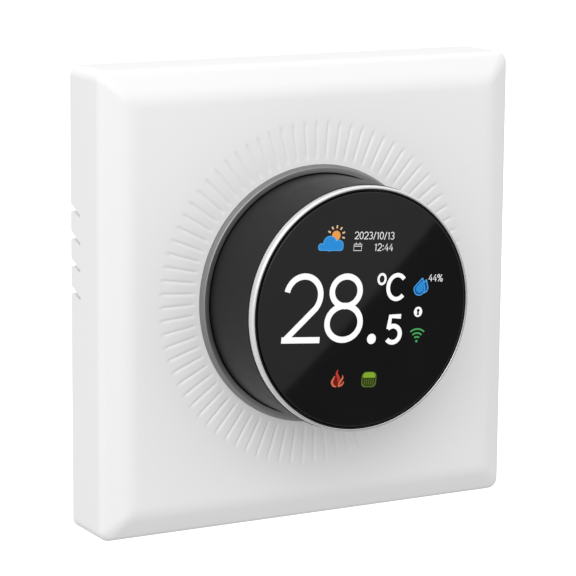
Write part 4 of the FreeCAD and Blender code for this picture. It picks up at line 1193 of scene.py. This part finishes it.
@dataclass
class DisplayPicture:
    """What the lit display shows: temperature, weather, date, clock, humidity and small signs."""

    turn_degrees: float = -4.8
    film: float = 0.02
    below: float = 0.04
    layer_step: float = 0.004
    sign_gap: float = 0.07
    text_height: float = 1.38
    text_stroke: float = 0.15
    lens_front: float = field(default_factory=lambda: node_front("front_lens"))

    def turned(self, outline: Outline) -> Outline:
        """An outline turned with the picture about the knob's axis.

        Args:
            outline: the outline in the picture's own frame.

        Returns:
            The outline as it lies on the thermostat.
        """
        if isinstance(outline, Band):
            return Band(self.turned(outline.outer), self.turned(outline.inner))
        turn = math.radians(self.turn_degrees)
        cosine, sine = math.cos(turn), math.sin(turn)
        return [(x * cosine - z * sine, x * sine + z * cosine) for x, z in outline]

    def lay(self, name: str, outlines: Sequence[Outline], finish: Finish, layer: int = 0) -> None:
        """Adds one lit shape to the picture.

        Args:
            name: the piece's name.
            outlines: its outlines in the picture's own frame, in millimetres.
            finish: the light's colour.
            layer: higher layers lie in front.
        """
        front = self.lens_front - self.below + layer * self.layer_step
        piece = plate(name, [self.turned(outline) for outline in outlines], front - self.film, front)
        dress(piece, Body.CARRIAGE, finish)

    def glyph_outlines(self, glyph: Glyph, left: float, low: float, height: float,
                       stroke: float) -> list[Outline]:
        """Outlines of one sign at a place and size in the picture.

        Args:
            glyph: the sign.
            left: its left edge.
            low: its baseline.
            height: its height.
            stroke: the width of its strokes.

        Returns:
            The outlines.
        """
        def fit(path: Sequence[Pair]) -> list[Pair]:
            """A path at the glyph's place and size."""
            return [(left + x * height, low + y * height) for x, y in path]
        outlines = [shape for path in glyph.strokes for shape in ribbon(fit(path), stroke)]
        outlines += [shape for path in glyph.rings for shape in ribbon(fit(path), stroke, closed=True)]
        for x, y, radius in glyph.dots:
            centre = fit([(x, y)])[0]
            outlines.append(ring(centre, (radius * height, radius * height), 16))
        return outlines

    def line(self, name: str, text: str, left: float, low: float, height: float, stroke: float) -> None:
        """Adds a row of small signs.

        Args:
            name: the piece's name.
            text: the signs, each one a key of NUMERALS.
            left: the row's left edge.
            low: its baseline.
            height: the signs' height.
            stroke: the width of their strokes.
        """
        outlines: list[Outline] = []
        pen = left
        for sign in text:
            glyph = NUMERALS[sign]()
            outlines += self.glyph_outlines(glyph, pen, low, height, stroke)
            pen += (glyph.wide + self.sign_gap) * height
        self.lay(name, outlines, TEXT_WHITE)

    def temperature(self) -> None:
        """Large numerals, the decimal and the degree sign."""
        low, height, stroke = -6.05, 12.8, 1.12
        tens = self.glyph_outlines(numeral_two(), -16.8, low, height, stroke)
        units = self.glyph_outlines(numeral_eight(), -8.2, low, height, stroke)
        self.lay("tens_numeral", tens, DIGIT_WHITE)
        self.lay("units_numeral", units, DIGIT_WHITE)
        self.lay("decimal_dot", [ring((2.2, -5.3), (0.92, 0.95), 40)], DIGIT_WHITE)
        self.lay("decimal_numeral", self.glyph_outlines(numeral_five(), 4.95, -6.3, 5.55, 0.88), DIGIT_WHITE)
        degree = ring((3.35, 5.65), (0.74, 0.9), 40)
        celsius = sampled_arc((6.65, 4.2), (1.85, 2.2), 42, 318, 40)
        self.lay("degree_ring", ribbon(degree, 0.44, True), DIGIT_WHITE)
        self.lay("celsius_sign", ribbon(celsius, 0.78), DIGIT_WHITE)

    def weather(self) -> None:
        """Sun with rays, half hidden by a cloud."""
        sun = (-6.95, 13.5)
        self.lay("sun_disc", [ring(sun, (0.88, 0.88), 40)], SUN_ORANGE)
        rays = []
        for number in range(6):
            degrees = -14 + 34 * number
            ends = [sampled_arc(sun, (reach, reach), degrees, degrees, 1)[0] for reach in (1.3, 1.85)]
            rays += ribbon(ends, 0.3)
        self.lay("sun_rays", rays, RAY_CREAM)
        puffs = (((-9.8, 11.42), 0.68), ((-8.1, 12.05), 1.4), ((-6.3, 11.74), 1.02))
        for layer, (finish, inset) in enumerate(((RIM_BLUE, 0.0), (SKY_BLUE, 0.17))):
            for number, (centre, size) in enumerate(puffs):
                disc = ring(centre, (size - inset, size - inset), 48)
                self.lay(f"cloud_{layer}_puff_{number}", [disc], finish, 4 * layer + number + 1)
            low, left, right = 10.74 + inset, -10.45 + inset, -5.3 - inset
            base = rounded([(left, low, 0.5), (right, low, 0.55), (right, 11.9, 0.5), (left, 11.9, 0.5)], 8)
            self.lay(f"cloud_{layer}_base", [base], finish, 4 * layer + 4)

    def date_and_clock(self) -> None:
        """Date in numerals, a calendar sign and the time."""
        self.line("date_line", "2023/10/13", -3.15, 12.88, self.text_height, self.text_stroke)
        self.line("clock_line", "12:44", 1.15, 10.78, self.text_height, self.text_stroke)
        left, right, low, high, stroke = -3.1, -1.5, 10.82, 11.98, 0.13
        shapes = ribbon([(left, low), (right, low), (right, high), (left, high)], stroke, True)
        shapes += ribbon([(left, high - 0.36), (right, high - 0.36)], stroke)
        for x in (left + 0.4, right - 0.4):
            shapes += ribbon([(x, high), (x, high + 0.28)], stroke)
        self.lay("calendar_sign", shapes, TEXT_WHITE)

    def drop_outline(self, centre: Pair, size: float) -> list[Pair]:
        """A water drop with its tip up and to the right.

        Args:
            centre: the middle of its round part.
            size: the round part's radius.

        Returns:
            The outline.
        """
        (x, y), lean, tip_half, rise = centre, 0.4 * size, 0.1 * size, 1.7 * size
        bulb = sampled_arc(centre, (size, size), 160, 372, 30)
        return bulb + [(x + lean + tip_half, y + rise), (x + lean - tip_half, y + rise)]

    def humidity(self) -> None:
        """Two drops and the share of moisture in the air."""
        rear, front = (12.4, 4.0), (11.45, 3.82)
        self.lay("drop_rear", [self.drop_outline(rear, 0.95)], RIM_BLUE)
        self.lay("drop_rear_core", [self.drop_outline(rear, 0.72)], DEEP_BLUE, 1)
        self.lay("drop_front", [self.drop_outline(front, 1.22)], RIM_BLUE, 2)
        self.lay("drop_front_gap", [self.drop_outline(front, 1.02)], DEEP_BLUE, 3)
        self.lay("drop_front_core", [self.drop_outline((front[0] + 0.08, front[1] + 0.1), 0.8)], SKY_BLUE, 4)
        self.line("humidity_value", "44%", 13.2, 5.25, 1.35, 0.16)

    def small_signs(self) -> None:
        """Lock sign and radio fan at the right-hand side."""
        x, y = 11.6, -0.38
        self.lay("lock_disc", [ring((x, y), (0.88, 0.95), 40)], DIGIT_WHITE)
        keyhole = sampled_arc((x, y + 0.25), (0.3, 0.3), -60, 240, 20)
        self.lay("lock_keyhole", [keyhole + [(x - 0.26, y - 0.6), (x + 0.26, y - 0.6)]], LENS_BLACK, 1)
        foot = (11.8, -5.8)
        fan = [ring(foot, (0.24, 0.24), 16)]
        for reach in (0.8, 1.5, 2.25):
            fan += ribbon(sampled_arc(foot, (reach, reach), 130, 50, 16), 0.3)
        self.lay("radio_fan", fan, FAN_GREEN)

    def flame(self) -> None:
        """Flame of three tongues over a dark red heart."""
        def tongue(share: float) -> float:
            """Width share along a tongue, from its tip to its root."""
            return 0.2 + 0.8 * math.sin(math.pi * min(1.0, share * 0.85 + 0.05))
        heart = smooth([(-4.35, -11.4), (-4.75, -12.2), (-5.15, -13.0), (-4.9, -13.8), (-4.1, -14.05),
                        (-3.3, -13.6), (-3.15, -12.8), (-3.7, -12.4), (-4.0, -11.9), (-4.35, -11.4)])
        self.lay("flame_heart", [heart[:-1]], FLAME_DARK)
        left = [(-4.8, -12.0), (-5.1, -12.6), (-5.3, -13.2), (-4.95, -13.8), (-4.35, -14.0)]
        middle = [(-4.25, -10.9), (-4.45, -11.5), (-4.2, -12.0), (-3.95, -12.5), (-4.15, -13.1)]
        right = [(-3.2, -11.9), (-3.15, -12.4), (-3.5, -12.9), (-3.8, -13.4), (-3.9, -13.9)]
        low = [(-2.85, -13.0), (-3.05, -13.5), (-3.5, -13.8), (-3.95, -14.0)]
        tongues = (("left", left, 0.42, FLAME_CORAL), ("middle", middle, 0.5, FLAME_RED),
                   ("right", right, 0.4, FLAME_CORAL), ("low", low, 0.34, FLAME_CORAL))
        for layer, (name, path, width, finish) in enumerate(tongues, 1):
            self.lay(f"flame_{name}", ribbon(smooth(path), width, taper=tongue), finish, layer)

    def slatted_panel(self) -> None:
        """Rounded panel with a light cap and upright bars."""
        low, high, left, right = -14.2, -11.35, 0.85, 3.95
        for layer, (name, finish, inset) in enumerate((("rim", LEAF_EDGE, 0), ("body", LEAF_OLIVE, 0.2))):
            box = [(left + inset, low + inset, 0.8), (right - inset, low + inset, 0.8),
                   (right - inset, high - inset, 0.9), (left + inset, high - inset, 0.9)]
            self.lay(f"panel_{name}", [rounded(box, 8)], finish, layer)
        cap = [(left + 0.25, -12.45, 0.25), (right - 0.25, -12.45, 0.25), (right - 0.3, high - 0.1, 0.75),
               (left + 0.3, high - 0.1, 0.75)]
        self.lay("panel_cap", [rounded(cap, 8)], LEAF_LIME, 2)
        bars = []
        for number in range(5):
            across = left + 0.65 + number * 0.45
            bars += ribbon([(across, -12.65), (across, -13.75)], 0.2)
        self.lay("panel_bars", bars, LEAF_BAR, 2)

    def build(self) -> None:
        """Lays out the whole picture."""
        self.temperature()
        self.weather()
        self.date_and_clock()
        self.humidity()
        self.small_signs()
        self.flame()
        self.slatted_panel()


def smooth(points: Sequence[Pair], steps: int = 6) -> list[Pair]:
    """A rounded path through points, by the Catmull-Rom rule.

    Args:
        points: the points.
        steps: how many pieces the path has between two of them.

    Returns:
        The path's points.
    """
    spots = [Vector(point) for point in points]
    spots = [spots[0] * 2 - spots[1], *spots, spots[-1] * 2 - spots[-2]]
    path: list[Pair] = []
    for index in range(1, len(spots) - 2):
        before, here, there, after = spots[index - 1:index + 3]
        for step in range(steps):
            share = step / steps
            spot = 0.5 * (2 * here + (there - before) * share
                          + (2 * before - 5 * here + 4 * there - after) * share ** 2
                          + (3 * here - before - 3 * there + after) * share ** 3)
            path.append((spot.x, spot.y))
    path.append(tuple(points[-1]))
    return path


@dataclass
class Lens:
    """Black glass disc with a ground edge."""

    edge: float = 0.25
    inset: float = 0.05
    middle: float = 0.0001

    def build(self) -> None:
        """Builds and dresses the glass."""
        radius, back = node_radius("front_lens"), node_back("front_lens")
        front = node_front("front_lens") - self.inset
        profile = rounded([(self.middle, back, 0), (radius, back, SMALL_EDGE), (radius, front, self.edge),
                           (self.middle, front, 0)], 6)
        glass = lathe("front_lens_glass", profile)
        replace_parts(dress(glass, Body.CARRIAGE, LENS_BLACK), "front_lens")


# ---------------------------------------------------------------- rear and insides


@dataclass
class ReturnSprings:
    """Three coil springs that return the pressed knob."""

    wire: float = 0.2
    turns: float = 4.5
    steps_per_turn: int = 48
    sides: int = 16
    nodes: tuple[str, ...] = ("return_spring_1", "return_spring_2", "return_spring_3")

    def coil(self, node: str) -> bpy.types.Object:
        """Round wire wound about the place of one CAD spring.

        Args:
            node: the CAD spring's name.

        Returns:
            The closed coil.
        """
        low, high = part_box(node)
        middle = (low + high) / 2 / MM
        mean = node_radius(node) - self.wire
        foot, rise = node_back(node) + self.wire, node_front(node) - node_back(node) - 2 * self.wire
        steps = int(self.turns * self.steps_per_turn)
        loops = []
        for step in range(steps + 1):
            turn = TURN * step / self.steps_per_turn
            outward = Vector((math.cos(turn), 0, math.sin(turn)))
            centre = Vector((middle.x, -foot - rise * step / steps, middle.z)) + outward * mean
            climb = -rise / (self.turns * TURN)
            slope = Vector((-mean * math.sin(turn), climb, mean * math.cos(turn))).normalized()
            beside = slope.cross(outward)
            around = [TURN * side / self.sides for side in range(self.sides)]
            loops += [(centre + (outward * math.cos(angle) + beside * math.sin(angle)) * self.wire) * MM
                      for angle in around]
        faces: list[Sequence[int]] = list(band_faces(0, self.sides, steps + 1, joined=False))
        faces.append(list(range(self.sides)))
        faces.append(list(range(len(loops) - self.sides, len(loops))))
        return new_piece(f"{node}_wound", loops, faces)

    def build(self) -> None:
        """Builds the springs, which stand on the chassis."""
        for node in self.nodes:
            piece = dress(self.coil(node), Body.FIXED, CAD_FINISHES["spring_steel"])
            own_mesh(piece)
            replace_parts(piece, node)


@dataclass
class Insides:
    """Finishes for every CAD node that stays, and moulded copies of the outer rear pieces."""

    housing_edge: float = 0.3
    terminal_edge: float = 0.12

    def build(self) -> None:
        """Dresses the CAD nodes by their slots."""
        slots = {entry["node"]: entry["material_slot"] for entry in frame["record"]["subparts"]}
        for name, node in frame["nodes"].items():
            material = Paint.of(CAD_FINISHES[slots[name]])
            if not node.data.materials:
                node.data.materials.append(material)
            for index in range(len(node.material_slots)):
                node.material_slots[index].material = material
        log.info("finishes on %d CAD nodes", len(frame["nodes"]))
        soft_copy("rear_housing", self.housing_edge, Body.FIXED, HOUSING_WHITE)
        soft_copy("terminal_block", self.terminal_edge, Body.FIXED, TERMINAL_GREEN)


# ---------------------------------------------------------------- studio


@dataclass
class Studio:
    """Pale floor, soft light, a grey card for the glass to mirror, and the camera.

    Sizes are in metres, apart from those whose names end in mm.
    """

    eye: tuple[float, float, float] = (-0.2443, -0.4476, 0.0954)
    yaw_degrees: float = 28.84
    down_degrees: float = 10.75
    roll_degrees: float = 0.44
    lens_mm: float = 170.6
    floor_drop: float = 0.12
    surround_level: float = 0.82
    surround_lean: tuple[float, float, float] = (-0.14, 0.0, 0.37)
    floor_radius: float = 3.0
    floor_columns: int = 96
    floor_glow: float = 0.4
    key_place: tuple[float, float, float] = (-0.26, -0.48, 0.32)
    key_size: float = 0.45
    key_watts: float = 1.15
    card_out_mm: float = 250.0
    card_corners_mm: tuple[Pair, ...] = ((72, -93), (190, 1), (330, -50), (160, -119), (100, -119))
    card_glow: float = 0.16

    def camera(self) -> None:
        """Long lens from the left, a little above."""
        data = bpy.data.cameras.new("camera")
        data.lens = self.lens_mm
        data.sensor_width = 36.0
        data.clip_start = 0.01
        camera = bpy.data.objects.new("camera", data)
        bpy.context.scene.collection.objects.link(camera)
        yaw = Matrix.Rotation(-math.radians(self.yaw_degrees), 4, "Z")
        tilt = Matrix.Rotation(math.radians(90 - self.down_degrees), 4, "X")
        roll = Matrix.Rotation(math.radians(self.roll_degrees), 4, "Z")
        camera.matrix_world = Matrix.Translation(self.eye) @ yaw @ tilt @ roll
        bpy.context.scene.camera = camera

    def key_light(self) -> None:
        """A square soft light aimed at the thermostat."""
        data = bpy.data.lights.new("key_light", "AREA")
        data.size = self.key_size
        data.energy = self.key_watts
        light = bpy.data.objects.new("key_light", data)
        bpy.context.scene.collection.objects.link(light)
        light.location = self.key_place
        light.rotation_euler = Vector(self.key_place).to_track_quat("Z", "Y").to_euler()

    def world(self) -> None:
        """Soft surround, brighter from the left and from above."""
        world = bpy.data.worlds.new("surround")
        bpy.context.scene.world = world
        world.use_nodes = True
        tree = world.node_tree
        spot = tree.nodes.new("ShaderNodeTexCoord")
        lean = tree.nodes.new("ShaderNodeVectorMath")
        lean.operation = "DOT_PRODUCT"
        lean.inputs[1].default_value = self.surround_lean
        level = tree.nodes.new("ShaderNodeMath")
        level.operation = "ADD"
        level.inputs[1].default_value = self.surround_level
        tree.links.new(spot.outputs["Generated"], lean.inputs[0])
        tree.links.new(lean.outputs["Value"], level.inputs[0])
        tree.links.new(level.outputs[0], tree.nodes["Background"].inputs["Strength"])
        tree.nodes["Background"].inputs["Color"].default_value = (1, 1, 1, 1)

    def sheet(self, name: str, corners: Sequence[Vector], colour: float, roughness: float,
              glow: float) -> bpy.types.Object:
        """A flat sheet of the studio that gives off a little light.

        Args:
            name: its name.
            corners: its corners, in metres.
            colour: how light it is, from 0 to 1.
            roughness: how matt it is, from 0 to 1.
            glow: how much light it gives off.

        Returns:
            The sheet.
        """
        mesh = bpy.data.meshes.new(name)
        mesh.from_pydata([tuple(corner) for corner in corners], [], [tuple(range(len(corners)))])
        sheet = bpy.data.objects.new(name, mesh)
        bpy.context.scene.collection.objects.link(sheet)
        nodes = NodeTree(f"{name}_plain")
        sockets = nodes.shader.inputs
        sockets["Base Color"].default_value = (colour, colour, colour, 1)
        sockets["Roughness"].default_value = roughness
        sockets["Emission Color"].default_value = (1, 1, 1, 1)
        sockets["Emission Strength"].default_value = glow
        mesh.materials.append(nodes.material)
        sheet.visible_diffuse = False
        return sheet

    def floor(self) -> None:
        """Large pale floor below the thermostat."""
        edge = ring((0, 0), (self.floor_radius, self.floor_radius), self.floor_columns)
        corners = [Vector((x, y, -self.floor_drop)) for x, y in edge]
        floor = self.sheet("floor", corners, 0.9, 0.9, self.floor_glow)
        floor.visible_glossy = False

    def grey_card(self) -> None:
        """Grey card in front and to the right, which only polished pieces mirror."""
        corners = [place(across, self.card_out_mm, up) for across, up in self.card_corners_mm]
        card = self.sheet("grey_card", corners, 0.0, 0.5, self.card_glow)
        card.visible_camera = False
        card.visible_shadow = False

    def build(self) -> None:
        """Sets up camera, surround, floor, card and light."""
        bpy.context.scene.view_settings.view_transform = "Standard"
        self.camera()
        self.world()
        self.floor()
        self.grey_card()
        self.key_light()


def main() -> None:
    """Builds the thermostat and its studio."""
    Studio().build()
    FrontCover().build()
    Knob().build()
    Lens().build()
    DisplayPicture().build()
    ReturnSprings().build()
    Insides().build()


if __name__ == "__main__":
    main()
